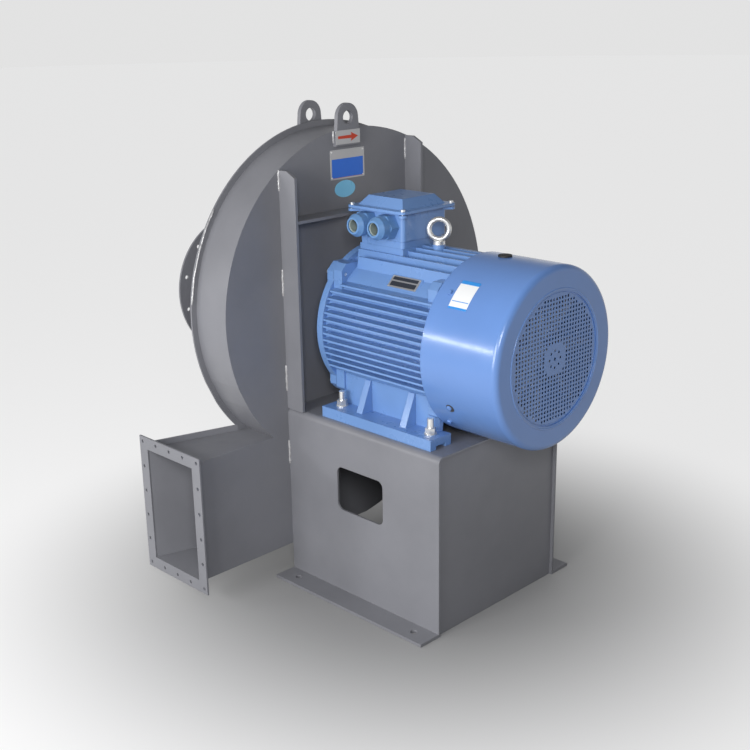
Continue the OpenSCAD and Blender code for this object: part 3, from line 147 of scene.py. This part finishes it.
def mix(nt, fac, a, b):
    n = nt.nodes.new("ShaderNodeMix")
    n.data_type = "RGBA"
    nt.links.new(fac, n.inputs[0])
    for k, c in ((6, a), (7, b)):
        if isinstance(c, tuple):
            n.inputs[k].default_value = (*c, 1.0)
        else:
            nt.links.new(c, n.inputs[k])
    return n.outputs[2]


def bumped(nt, bsdf, height, strength, distance, bevel):
    b = nt.nodes.new("ShaderNodeBump")
    b.inputs["Strength"].default_value = strength
    b.inputs["Distance"].default_value = distance
    nt.links.new(height, b.inputs["Height"])
    if bevel > 0:
        v = nt.nodes.new("ShaderNodeBevel")
        v.samples = BEVEL_SAMPLES
        v.inputs["Radius"].default_value = bevel
        nt.links.new(v.outputs[0], b.inputs["Normal"])
    nt.links.new(b.outputs[0], bsdf.inputs["Normal"])


def shade(c, k):
    return tuple(min(1.0, v * k) for v in c)


def paint(name, col, rough, metallic=0.0, coat=0.0, vary=0.10, grain=0.25, bevel=0.0012, large=5.0):
    """A paint or metal whose tone, grain and roughness change a little over the surface; large is the scale of
    the changes of tone"""
    m, nt, bsdf = tree(name)
    vec = coords(nt)
    cloud = spread(nt, noise(nt, vec, large, 5.0), NOISE_LOW, NOISE_HIGH, 0.0, 1.0)
    nt.links.new(mix(nt, cloud, shade(col, 1 - vary), shade(col, 1 + vary)), bsdf.inputs["Base Color"])
    bumped(nt, bsdf, noise(nt, vec, GRAIN_SCALE, 2.0), grain, GRAIN_DEPTH, bevel)
    smudge = spread(nt, noise(nt, vec, ROUGH_SCALE, 4.0), NOISE_LOW, NOISE_HIGH,
                    rough * (1 - ROUGH_SPREAD), rough * (1 + ROUGH_SPREAD))
    nt.links.new(smudge, bsdf.inputs["Roughness"])
    bsdf.inputs["Metallic"].default_value = metallic
    bsdf.inputs["Coat Weight"].default_value = coat
    bsdf.inputs["Coat Roughness"].default_value = COAT_ROUGHNESS
    bsdf.inputs["Specular IOR Level"].default_value = SPECULAR
    return m


CASING = paint("casing_paint", (0.205, 0.208, 0.230), 0.38, vary=0.06, grain=0.12)
IMPELLER = paint("impeller_paint", (0.150, 0.150, 0.158), 0.5, vary=0.08)
MOTOR = paint("motor_paint", (0.150, 0.282, 0.570), 0.30, vary=0.05, grain=0.12, bevel=0.0016, coat=0.2)
COWL = paint("cowl_paint", (0.130, 0.258, 0.585), 0.24, vary=0.03, grain=0.06, bevel=0.001, coat=0.3)
GLAND = paint("gland_paint", (0.120, 0.255, 0.500), 0.35, vary=0.06, grain=0.15)
ZINC = paint("zinc", (0.74, 0.74, 0.73), 0.30, metallic=0.75, vary=0.10, grain=0.1, bevel=0.0006)
STEEL = paint("turned_steel", (0.50, 0.50, 0.50), 0.3, metallic=0.95, vary=0.08, grain=0.1)
LAMINATION = paint("lamination", (0.07, 0.07, 0.075), 0.55, metallic=0.4)
COPPER = paint("copper", (0.40, 0.16, 0.06), 0.4, metallic=0.6)
RUBBER = paint("rubber", (0.016, 0.016, 0.016), 0.55, vary=0.2, grain=0.3)
BOARD = paint("board", (0.08, 0.04, 0.02), 0.5)
GLAND_BORE = paint("gland_bore", (0.26, 0.31, 0.29), 0.5, vary=0.15)
WELD = paint("weld", (0.46, 0.46, 0.47), 0.32, metallic=0.35, vary=0.12, grain=0.5, bevel=0.0, large=60.0)

# The fan's disc deep in the cowl is painted dark as shade: that painted shade's tone, and where it ends and the
# pale blades start, from the fan's front on
FAN_PAINTED_SHADE = (0.035, 0.037, 0.040)
FAN_DISC_END, FAN_BLADE_START = 0.006, 0.009


def fan_material():
    """Pale blades on a disc painted dark as the shade deep in the cowl"""
    m = paint("fan_plastic", (0.90, 0.92, 0.92), 0.45, vary=0.02, grain=0.1)
    nt = m.node_tree
    bsdf = [n for n in nt.nodes if n.type == "BSDF_PRINCIPLED"][0]
    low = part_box("cooling_fan")[0]
    place = nt.nodes.new("ShaderNodeSeparateXYZ")
    nt.links.new(coords(nt), place.inputs[0])
    # The fan's part deep in the cowl gets painted shade, the blades keep the pale plastic
    on_blade = spread(nt, place.outputs[0], low.x + FAN_DISC_END, low.x + FAN_BLADE_START, 0.0, 1.0)
    pale = bsdf.inputs["Base Color"].links[0].from_socket
    nt.links.new(mix(nt, on_blade, FAN_PAINTED_SHADE, pale), bsdf.inputs["Base Color"])
    return m


PLASTIC = fan_material()
PLATE = paint("plate_silver", (0.46, 0.46, 0.47), 0.32, metallic=0.55, vary=0.05, grain=0.08, bevel=0.0)
PLATE_BLUE = paint("plate_blue", (0.030, 0.180, 0.760), 0.35, vary=0.04, grain=0.05, bevel=0.0)
PLATE_DARK = paint("plate_dark", (0.030, 0.034, 0.045), 0.35, vary=0.1, grain=0.05, bevel=0.0)
MARK_RED = paint("mark_red", (0.600, 0.055, 0.020), 0.4, vary=0.04, grain=0.05, bevel=0.0)
STICKER = paint("sticker_blue", (0.240, 0.640, 0.930), 0.3, vary=0.04, grain=0.04, bevel=0.0)
PAPER = paint("label_paper", (0.800, 0.810, 0.820), 0.35, vary=0.02, grain=0.04, bevel=0.0)
BAND = paint("label_band", (0.030, 0.270, 0.720), 0.35, vary=0.03, grain=0.04, bevel=0.0)
# A near-black tone painted where a hole's shade falls
HOLE_PAINTED_SHADE = paint("hole_painted_shade", (0.050, 0.052, 0.058), 0.6, vary=0.1, grain=0.1, bevel=0.0)

BY_SLOT = {"casing_paint": CASING, "motor_paint": MOTOR, "cowl_paint": COWL, "gland_paint": GLAND,
           "zinc": ZINC, "shaft_steel": STEEL, "lamination": LAMINATION, "copper": COPPER,
           "fan_plastic": PLASTIC, "rubber": RUBBER, "board": BOARD}
SLOT_OF = {row["node"]: row["material_slot"] for row in frame["record"]["subparts"]}


def dress(ob, mat):
    ob.data.materials.clear()
    ob.data.materials.append(mat)


for name, ob in NODES.items():
    dress(ob, BY_SLOT[SLOT_OF[name]])
for name in ("impeller_back_disc", "impeller_shroud", "impeller_blades", "impeller_hub"):
    dress(NODES[name], IMPELLER)


# ---------------------------------------------------------------- mesh helpers
def put(name, mesh, mat, body="housing", smooth=None):
    ob = bpy.data.objects.new(name, mesh)
    bpy.context.scene.collection.objects.link(ob)
    dress(ob, mat)
    if smooth is not None:
        shade_by_angle(mesh, smooth)
    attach(ob, body)
    return ob


def shade_by_angle(mesh, degrees):
    for p in mesh.polygons:
        p.use_smooth = True
    mesh.set_sharp_from_angle(angle=math.radians(degrees))


def from_bm(bm, name):
    bmesh.ops.recalc_face_normals(bm, faces=bm.faces)
    me = bpy.data.meshes.new(name)
    bm.to_mesh(me)
    bm.free()
    return me


def outlines_mesh(name, loops, depth):
    """A plate in the XY plane from closed outlines, holes included, depth thick about z = 0"""
    cu = bpy.data.curves.new(name, "CURVE")
    cu.dimensions = "2D"
    cu.fill_mode = "BOTH"
    cu.extrude = depth / 2
    for loop in loops:
        sp = cu.splines.new("POLY")
        sp.points.add(len(loop) - 1)
        for pt, (x, y) in zip(sp.points, loop):
            pt.co = (x, y, 0, 1)
        sp.use_cyclic_u = True
    ob = bpy.data.objects.new(name, cu)
    bpy.context.scene.collection.objects.link(ob)
    dg = bpy.context.evaluated_depsgraph_get()
    me = bpy.data.meshes.new_from_object(ob.evaluated_get(dg), depsgraph=dg)
    bpy.data.objects.remove(ob)
    bpy.data.curves.remove(cu)
    me.name = name
    bm = bmesh.new()
    bm.from_mesh(me)
    bmesh.ops.remove_doubles(bm, verts=bm.verts, dist=TINY)
    bmesh.ops.recalc_face_normals(bm, faces=bm.faces)
    bm.to_mesh(me)
    bm.free()
    return me


def circle_pts(r, n, cx=0.0, cy=0.0):
    return [(cx + r * math.cos(2 * math.pi * i / n), cy + r * math.sin(2 * math.pi * i / n)) for i in range(n)]


def round_rect(w, h, r, cx, cy, n):
    """A rectangle's outline with n steps in each rounded corner"""
    pts = []
    for k, (sx, sy) in enumerate(((1, 1), (-1, 1), (-1, -1), (1, -1))):
        for i in range(n + 1):
            a = math.pi / 2 * (k + i / n)
            pts.append((cx + sx * (w / 2 - r) + r * math.cos(a), cy + sy * (h / 2 - r) + r * math.sin(a)))
    return pts


def revolve(name, profile, n, closed=True):
    """Turns (radius, height) points about Z in n steps"""
    bm = bmesh.new()
    rings = []
    for r, z in profile:
        if r < TINY:
            rings.append([bm.verts.new((0, 0, z))])
        else:
            rings.append([bm.verts.new((x, y, z)) for x, y in circle_pts(r, n)])
    pairs = list(zip(rings, rings[1:]))
    if closed:
        pairs.append((rings[-1], rings[0]))
    for a, b in pairs:
        for i in range(n):
            j = (i + 1) % n
            if len(a) == 1 and len(b) == 1:
                continue
            if len(a) == 1:
                bm.faces.new((a[0], b[i], b[j]))
            elif len(b) == 1:
                bm.faces.new((a[i], a[j], b[0]))
            else:
                bm.faces.new((a[i], a[j], b[j], b[i]))
    return from_bm(bm, name)


def moved(mesh, matrix):
    mesh.transform(matrix)
    return mesh


def lifted(matrix, x, y, z):
    """A placed plane's matrix, moved on in its own directions"""
    return matrix @ Matrix.Translation((x, y, z))


def join_meshes(name, meshes):
    bm = bmesh.new()
    for me in meshes:
        bm.from_mesh(me)
        bpy.data.meshes.remove(me)
    out = bpy.data.meshes.new(name)
    bm.to_mesh(out)
    bm.free()
    return out


def skin(bm, rings):
    """Joins closed rings of the same count into a tube with both ends shut"""
    for a, b in zip(rings, rings[1:]):
        for i in range(len(a)):
            j = (i + 1) % len(a)
            bm.faces.new((a[i], a[j], b[j], b[i]))
    bm.faces.new(rings[0][::-1])
    bm.faces.new(rings[-1])


def tube_along(name, pts, radii, n=8):
    """A tube through points, each with its own radius"""
    bm = bmesh.new()
    rings = []
    unit = circle_pts(1.0, n)
    for k, p in enumerate(pts):
        a = pts[max(0, k - 1)]
        b = pts[min(len(pts) - 1, k + 1)]
        t = (b - a).normalized()
        u = t.orthogonal().normalized() if k == 0 else (u - t * u.dot(t)).normalized()
        w = t.cross(u)
        rings.append([bm.verts.new(p + (u * x + w * y) * radii[k]) for x, y in unit])
    skin(bm, rings)
    return from_bm(bm, name)


def plane_at(centre, across, away):
    """Turns X, Y, Z into across, up and away from a surface, with its origin at centre"""
    a = Vector(across).normalized()
    n = Vector(away).normalized()
    u = n.cross(a)
    rows = [(a[k], u[k], n[k], centre[k]) for k in range(3)]
    return Matrix((*rows, (0, 0, 0, 1)))


def cowl_end_at(x):
    """The plane of the cowl's end at x, with its origin on the shaft"""
    return plane_at((x, 0, SHAFT_Z), (0, 1, 0), (1, 0, 0))


# ---------------------------------------------------------------- fan cowl's perforated end
# Its oblong holes: pitch, size, corner, rows each way from the middle, and the radii between which they lie
HOLE_PITCH_Y, HOLE_PITCH_Z = 0.0112, 0.0104
HOLE_W, HOLE_H_SHARE, HOLE_CORNER = 0.0066, 0.94, 0.0016
HOLES_EACH_WAY = 15
HOLES_FROM_R, HOLES_TO_R = 0.040, 0.1535
# The sheet: radius, thickness, how far it sits behind the cowl's end, and the round holes in its middle
SHEET_R, SHEET_T, SHEET_BACK = 0.1688, 0.0014, 0.0038
MIDDLE_HOLES, MIDDLE_HOLE_R, MIDDLE_CIRCLE_R, CENTRE_HOLE_R = 8, 0.0033, 0.021, 0.0042
# The rings pressed into it: radius and height of each, half width, place and the share of the width on top
RING_ROWS = ((0.1590, 0.0010), (0.1665, 0.0008))
RING_HALF_W, RING_BACK, RING_TOP_SHARE = 0.0016, 0.0032, 0.4
# Steps round a large circle, a middle hole, the centre hole and an oblong hole's corner
ROUND_STEPS, MIDDLE_STEPS, CENTRE_STEPS, HOLE_CORNER_STEPS = 96, 10, 12, 2


def grille():
    loops = [circle_pts(SHEET_R, ROUND_STEPS)]
    for i in range(-HOLES_EACH_WAY, HOLES_EACH_WAY + 1):
        for j in range(-HOLES_EACH_WAY, HOLES_EACH_WAY + 1):
            y, z = i * HOLE_PITCH_Y, j * HOLE_PITCH_Z
            if HOLES_FROM_R < math.hypot(y, z) < HOLES_TO_R:
                hole = round_rect(HOLE_W, HOLE_W * HOLE_H_SHARE, HOLE_CORNER, y, z, HOLE_CORNER_STEPS)
                loops.append(hole)
    for y, z in circle_pts(MIDDLE_CIRCLE_R, MIDDLE_HOLES):
        loops.append(circle_pts(MIDDLE_HOLE_R, MIDDLE_STEPS, y, z))
    loops.append(circle_pts(CENTRE_HOLE_R, CENTRE_STEPS))
    sheet = outlines_mesh("grille_visual", loops, SHEET_T)
    ob = put("grille_visual", moved(sheet, cowl_end_at(COWL_END_X - SHEET_BACK)), COWL)
    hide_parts("cowl_grille")


def grille_rings():
    """The two rings pressed into the cowl's end round the holes"""
    foot, top = RING_HALF_W, RING_HALF_W * RING_TOP_SHARE
    rings = [revolve("ring", [(r - foot, 0), (r - top, high), (r + top, high), (r + foot, 0)], ROUND_STEPS)
             for r, high in RING_ROWS]
    both = moved(join_meshes("grille_rings", rings), cowl_end_at(COWL_END_X - RING_BACK))
    put("grille_rings", both, COWL, smooth=60)


grille()

# ---------------------------------------------------------------- bare plates, stickers and the cowl's label
# Thickness of a plate and of a printed field, the plates' corners, and the oval sticker: half sizes, steps,
# thickness and how far out its middle lies
SHEET_PLATE_T, SKIN_T = 0.0008, 0.0002
CORNER_STEPS = 4
OVAL_HALF, OVAL_STEPS, OVAL_T, OVAL_OUT = (0.0375, 0.0225), 48, 0.0004, 0.0003
ARROW = ((-0.036, -0.0035), (0.012, -0.0042), (0.010, -0.0115), (0.036, 0.0),
         (0.010, 0.0115), (0.012, 0.0042), (-0.036, 0.0035))
ARROW_OUT = 0.0010
RATING_AT = plane_at((FACE_X, 0.0057, 1.1022), (0, 1, 0), (1, 0, 0))
TURNING_AT = plane_at((FACE_X + 0.012, -0.0015, 1.1735), (0, 1, 0), (1, 0, 0))
OVAL_AT = plane_at((FACE_X, -0.005, 1.037), (0, 1, 0), (1, 0, 0))
MOTOR_AT = plane_at((0.0575, -0.1238, 0.8502), (1, 0, 0), (0, -1, 1))

# name, width, height, corner, how far out it starts, thickness, centre's height, material, slot
RATING_SHEETS = (
    ("rating_plate", 0.1247, 0.0775, 0.002, 0.0, SHEET_PLATE_T, 0.0, PLATE, "zinc"),
    ("rating_plate_field", 0.114, 0.049, 0.001, SHEET_PLATE_T, SKIN_T, -0.0098, PLATE_BLUE, None),
    ("rating_plate_foot", 0.114, 0.0008, 0.0003, SHEET_PLATE_T, SKIN_T, -0.0345, MARK_RED, None),
)
TURNING_SHEETS = (("turning_plate", 0.087, 0.036, 0.001, 0.0, SHEET_PLATE_T, 0.0, PLATE, "zinc"),)
MOTOR_SHEETS = (
    ("motor_plate_pad", 0.104, 0.040, 0.002, -0.006, 0.0068, 0.0, MOTOR, "motor_paint"),
    ("motor_plate", 0.094, 0.034, 0.001, 0.0008, SHEET_PLATE_T, 0.0, PLATE, "zinc"),
    ("motor_plate_band", 0.083, 0.009, 0.001, 0.0016, SKIN_T, 0.009, PLATE_DARK, None),
    ("motor_plate_field", 0.083, 0.013, 0.001, 0.0016, SKIN_T, -0.0062, PLATE_DARK, None),
)

# A rivet's cap in shares of its radius and height, its height, how far out it starts, and its steps; then
# half the rivets' distances across and up, and their radius, on two plates
RIVET_CAP = ((0, 0), (1, 0), (0.85, 0.6), (0.4, 1), (0, 1))
RIVET_H, RIVET_SEAT, RIVET_STEPS = 0.0014, 0.0006, 14
RATING_RIVETS = (0.057, 0.0337, 0.0030)
MOTOR_RIVETS = (0.0445, 0.014, 0.0022)

# The cowl's label: its ends along the shaft, then name, inset, angles from and to, thickness, material
LABEL_X = (0.250, 0.305)
LABEL_R = COWL_R + 0.0001
LABEL_STEPS = 14
LABEL_ROWS = (
    ("cowl_label", 0.0, 124.4, 144.5, 0.0003, PAPER),
    ("cowl_label_top", 0.0, 124.4, 127.0, 0.0005, BAND),
    ("cowl_label_foot", 0.0, 143.2, 144.5, 0.0005, BAND),
    ("cowl_label_rule", 0.003, 139.2, 139.7, 0.0004, BAND),
)


def sheets(at, rows):
    """Rounded plates laid over each other on one placed plane"""
    for name, w, h, corner, out, thick, up, mat, slot in rows:
        sheet = outlines_mesh(name, [round_rect(w, h, corner, 0, up, CORNER_STEPS)], thick)
        put(name, moved(sheet, lifted(at, 0, 0, out + thick / 2)), mat)


def rivets(name, at, half_w, half_h, r):
    """Four rivets at the corners of a plate"""
    cap = [(x * r, z * RIVET_H) for x, z in RIVET_CAP]
    heads = []
    for x, y in ((-half_w, -half_h), (-half_w, half_h), (half_w, -half_h), (half_w, half_h)):
        head = revolve("rivet", cap, RIVET_STEPS, closed=False)
        heads.append(moved(head, lifted(at, x, y, RIVET_SEAT)))
    put(name, join_meshes(name, heads), ZINC, smooth=50)


def sticker(name, outline, at, thick, middle, mat):
    """A thin shape whose middle lies that far out from its plane"""
    put(name, moved(outlines_mesh(name, [outline], thick), lifted(at, 0, 0, middle)), mat)


def cowl_label(name, inset, from_angle, to_angle, thick, mat):
    """A label laid on the cowl's round side"""
    bm = bmesh.new()
    x0, x1 = LABEL_X[0] + inset, LABEL_X[1] - inset
    corners = ((x0, LABEL_R), (x1, LABEL_R), (x1, LABEL_R + thick), (x0, LABEL_R + thick))
    rings = []
    for k in range(LABEL_STEPS + 1):
        a = math.radians(from_angle + (to_angle - from_angle) * k / LABEL_STEPS)
        rings.append([bm.verts.new((x, r * math.cos(a), SHAFT_Z + r * math.sin(a))) for x, r in corners])
    skin(bm, rings)
    put(name, from_bm(bm, name), mat)


sheets(RATING_AT, RATING_SHEETS)
rivets("rating_plate_rivets", RATING_AT, *RATING_RIVETS)
sheets(TURNING_AT, TURNING_SHEETS)
sticker("turning_arrow", ARROW, TURNING_AT, SKIN_T, ARROW_OUT, MARK_RED)
oval = [(x * OVAL_HALF[0], y * OVAL_HALF[1]) for x, y in circle_pts(1.0, OVAL_STEPS)]
sticker("oval_sticker", oval, OVAL_AT, OVAL_T, OVAL_OUT, STICKER)
sheets(MOTOR_AT, MOTOR_SHEETS)
rivets("motor_plate_rivets", MOTOR_AT, *MOTOR_RIVETS)
for label_row in LABEL_ROWS:
    cowl_label(*label_row)

# ---------------------------------------------------------------- welds
# A bead: distance between its points, how far they wander in shares of its radius, its radius at its ends in
# shares of the full one and over how many points it grows, its low and high ridges, and how uneven they are
WELD_STEP, WELD_WANDER = 0.004, 0.18
WELD_END, WELD_END_STEPS = 0.55, 2
WELD_LOW, WELD_HIGH, WELD_UNEVEN = 0.82, 1.12, (0.88, 1.12)
WELD_X = FACE_X + 0.001
RIM_X = -0.398

# name, points, bead radius, seed
WELDS = (
    ("rib_weld_0", ((WELD_X, -0.2355, 1.111), (WELD_X, -0.2355, 1.058)), 0.0032, 10),
    ("rib_weld_1", ((WELD_X, -0.2355, 0.856), (WELD_X, -0.2355, 0.786)), 0.0032, 11),
    ("rib_weld_2", ((WELD_X, -0.2355, 0.598), (WELD_X, -0.2355, 0.528)), 0.0032, 12),
    ("rib_weld_3", ((WELD_X, -0.2355, 0.386), (WELD_X, -0.2355, 0.320)), 0.0032, 13),
    ("rear_rib_weld", ((WELD_X, 0.227, 1.149), (WELD_X, 0.227, 1.091)), 0.0030, 20),
    ("lug_weld", ((WELD_X, -0.0435, 1.191), (WELD_X, -0.0435, 1.158)), 0.0032, 21),
    ("rim_weld", ((RIM_X, -0.434, 0.779), (RIM_X, -0.421, 0.850), (RIM_X, -0.400, 0.912),
                  (RIM_X, -0.376, 0.966), (RIM_X, -0.346, 1.013)), 0.0026, 22),
)


def weld(name, pts, r, seed):
    """A ridged bead laid through points, thinner at its ends"""
    grow = (1 - WELD_END) / WELD_END_STEPS
    rnd = random.Random(seed)
    line = []
    for a, b in zip(pts, pts[1:]):
        a, b = Vector(a), Vector(b)
        n = max(2, round((b - a).length / WELD_STEP))
        line += [a.lerp(b, k / n) for k in range(n)]
    line.append(Vector(pts[-1]))
    at, radii = [], []
    for k, p in enumerate(line):
        at.append(p + Vector([rnd.uniform(-1, 1) * r * WELD_WANDER for _ in range(3)]))
        edge = min(1.0, WELD_END + grow * min(k, len(line) - 1 - k))
        radii.append(r * edge * (WELD_HIGH if k % 2 else WELD_LOW) * rnd.uniform(*WELD_UNEVEN))
    put(name, tube_along(name, at, radii), WELD, smooth=70)


for weld_row in WELDS:
    weld(*weld_row)

# ---------------------------------------------------------------- small things on the cowl and in the glands
# The cowl's hole, drawn as a dark disc of painted shade: its angle about the shaft, its place along it, its
# radius and depth, and its screw's head
COWL_HOLE_ANGLE, COWL_HOLE_X = 208.7, 0.272
COWL_HOLE_R, COWL_HOLE_T = 0.0115, 0.0010
SCREW_HEAD = ((0, 0), (0.0072, 0), (0.0068, 0.003), (0.003, 0.0046), (0, 0.0046))
SCREW_PLACE = (-0.002, 0.001, 0.0008)
# The glands' places, and the lining's section as radii and depths from their mouth
GLAND_X, GLAND_Z = (-0.104, -0.032), 0.9754
LINING = ((0.0164, 0.004), (0.0164, 0.030), (0.0146, 0.030), (0.0146, 0.0055))
COWL_HOLE_STEPS, SCREW_STEPS, LINING_STEPS = 24, 16, 40


def cowl_hole():
    """A dark disc of painted shade standing for a round hole low on the cowl's side, with a painted screw head
    in it
    """
    a = math.radians(COWL_HOLE_ANGLE)
    away = Vector((0, math.cos(a), math.sin(a)))
    at = plane_at((COWL_HOLE_X, away.y * COWL_R, SHAFT_Z + away.z * COWL_R), (1, 0, 0), away)
    disc = ((0, 0), (COWL_HOLE_R, 0), (COWL_HOLE_R, COWL_HOLE_T), (0, COWL_HOLE_T))
    head = revolve("cowl_nipple", SCREW_HEAD, SCREW_STEPS, closed=False)
    put("cowl_nipple", moved(head, lifted(at, *SCREW_PLACE)), COWL, smooth=50)
    # The hole is a thin dark disc on the cowl, painted shade and not a cut
    hole = revolve("cowl_hole", disc, COWL_HOLE_STEPS, closed=False)
    put("cowl_hole", moved(hole, at), HOLE_PAINTED_SHADE)


def gland_linings():
    """A pale lining in each gland's bore, where the cable's seal sits"""
    mouth_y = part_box("cable_glands")[0].y
    for k, x in enumerate(GLAND_X):
        turn = Matrix(((1, 0, 0, x), (0, 0, 1, mouth_y), (0, -1, 0, GLAND_Z), (0, 0, 0, 1)))
        lining = revolve("lining", LINING, LINING_STEPS)
        put("gland_lining_%d" % k, moved(lining, turn), GLAND_BORE, smooth=50)


cowl_hole()
gland_linings()
grille_rings()

# ---------------------------------------------------------------- floor and light
# The floor's own tone, the backdrop's, and the darker one overhead, seen by the camera and in shiny faces
FLOOR_TONE, BACK_TONE, CEILING = (0.28, 0.28, 0.283), (0.765, 0.765, 0.765), (0.16, 0.16, 0.165)
FLOOR_R, FLOOR_STEPS, FLOOR_CENTRE = 30.0, 64, (-0.05, 0, -0.0005)
# The floor's glow for the camera, low near the object as a painted shadow round its base: distance from,
# distance to, strength there
GLOW_WITH_PAINTED_SHADOW = (0.25, 1.35, 0.03, 0.675)
# The world's light: its mean, its lean to one direction, what comes from behind and from where
MEAN, LEAN = 0.36, (-0.18, -0.20, -0.18)
REAR, REAR_FROM = 0.75, (-0.7, 0.7, -0.1)
LEAN_RANGE = 0.4
# Where the backdrop turns into the ceiling, as a share of straight up
CEILING_FROM, CEILING_TO = 0.04, 0.42

# name, place, target, size, power, colour
LAMPS = (
    ("key", (0.3, -3.4, 1.3), (-0.1, 0, 0.6), (1.8, 1.4), 77, (1, 0.995, 0.985)),
    ("strip", (-1.55, -2.6, 1.22), (0.25, -0.1, 0.75), (0.9, 0.20), 11, (1, 1, 1)),
    ("front", (2.3, -2.4, 2.0), (-0.1, 0, 0.7), (0.8, 0.8), 44, (1, 1, 1)),
)


def lamp(name, place, target, size, power, color):
    li = bpy.data.lights.new(name, "AREA")
    li.shape = "RECTANGLE"
    li.size, li.size_y = size
    li.energy = power
    li.color = color
    ob = bpy.data.objects.new(name, li)
    ob.location = place
    ob.rotation_euler = (Vector(target) - Vector(place)).to_track_quat("-Z", "Y").to_euler()
    bpy.context.scene.collection.objects.link(ob)


def math_node(nt, operation, a, b):
    """A Math node's result for two sockets"""
    n = nt.nodes.new("ShaderNodeMath")
    n.operation = operation
    nt.links.new(a, n.inputs[0])
    nt.links.new(b, n.inputs[1])
    return n.outputs[0]


def towards(nt, way, direction):
    """How far a direction socket points along a fixed one"""
    n = nt.nodes.new("ShaderNodeVectorMath")
    n.operation = "DOT_PRODUCT"
    nt.links.new(way, n.inputs[0])
    n.inputs[1].default_value = direction
    return n.outputs["Value"]


def seen(nt):
    """1 for the camera's own rays and for mirrored or refracted ones"""
    lp = nt.nodes.new("ShaderNodeLightPath")
    out = math_node(nt, "MAXIMUM", lp.outputs["Is Camera Ray"], lp.outputs["Is Glossy Ray"])
    return math_node(nt, "MAXIMUM", out, lp.outputs["Is Transmission Ray"])


def floor_material():
    """A pale floor of one plain tone, with a glow that only the camera sees and that grows with the distance,
    so that it is darker near the object as a painted shadow
    """
    m, nt, bsdf = tree("floor")
    bsdf.inputs["Base Color"].default_value = (*FLOOR_TONE, 1)
    bsdf.inputs["Roughness"].default_value = 0.9
    bsdf.inputs["Specular IOR Level"].default_value = 0.0
    far = nt.nodes.new("ShaderNodeVectorMath")
    far.operation = "LENGTH"
    nt.links.new(coords(nt), far.inputs[0])
    # The glow's slow rise paints a dark shadow round the object's base
    rise = nt.nodes.new("ShaderNodeMapRange")
    rise.interpolation_type = "SMOOTHSTEP"
    nt.links.new(far.outputs["Value"], rise.inputs["Value"])
    for k, v in zip(("From Min", "From Max", "To Min", "To Max"), GLOW_WITH_PAINTED_SHADOW):
        rise.inputs[k].default_value = v
    glow = nt.nodes.new("ShaderNodeEmission")
    nt.links.new(math_node(nt, "MULTIPLY", seen(nt), rise.outputs["Result"]), glow.inputs["Strength"])
    both = nt.nodes.new("ShaderNodeAddShader")
    nt.links.new(bsdf.outputs[0], both.inputs[0])
    nt.links.new(glow.outputs[0], both.inputs[1])
    out = [n for n in nt.nodes if n.type == "OUTPUT_MATERIAL"][0]
    nt.links.new(both.outputs[0], out.inputs[0])
    return m


def world():
    """Light that is stronger from the front left and from behind, and the backdrop where it's seen"""
    w = bpy.data.worlds.new("world")
    w.use_nodes = True
    nt = w.node_tree
    bg = nt.nodes["Background"]
    way = nt.nodes.new("ShaderNodeTexCoord").outputs["Generated"]
    front = spread(nt, towards(nt, way, LEAN), -LEAN_RANGE, LEAN_RANGE,
                   MEAN - LEAN_RANGE, MEAN + LEAN_RANGE)
    rear = spread(nt, towards(nt, way, REAR_FROM), 0.0, 1.0, 0.0, REAR)
    tone = math_node(nt, "ADD", front, rear)
    grey = nt.nodes.new("ShaderNodeCombineColor")
    for k in range(3):
        nt.links.new(tone, grey.inputs[k])
    high = nt.nodes.new("ShaderNodeSeparateXYZ")
    nt.links.new(way, high.inputs[0])
    overhead = spread(nt, high.outputs[2], CEILING_FROM, CEILING_TO, 0.0, 1.0)
    backdrop = mix(nt, overhead, BACK_TONE, CEILING)
    nt.links.new(mix(nt, seen(nt), grey.outputs[0], backdrop), bg.inputs[0])
    bg.inputs[1].default_value = 1.0
    bpy.context.scene.world = w


def stage():
    bm = bmesh.new()
    bmesh.ops.create_circle(bm, cap_ends=True, radius=FLOOR_R, segments=FLOOR_STEPS)
    ob = bpy.data.objects.new("floor", from_bm(bm, "floor"))
    ob.location = FLOOR_CENTRE
    bpy.context.scene.collection.objects.link(ob)
    dress(ob, floor_material())
    world()
    for row in LAMPS:
        lamp(*row)


stage()
bpy.context.scene.view_settings.view_transform = "Standard"
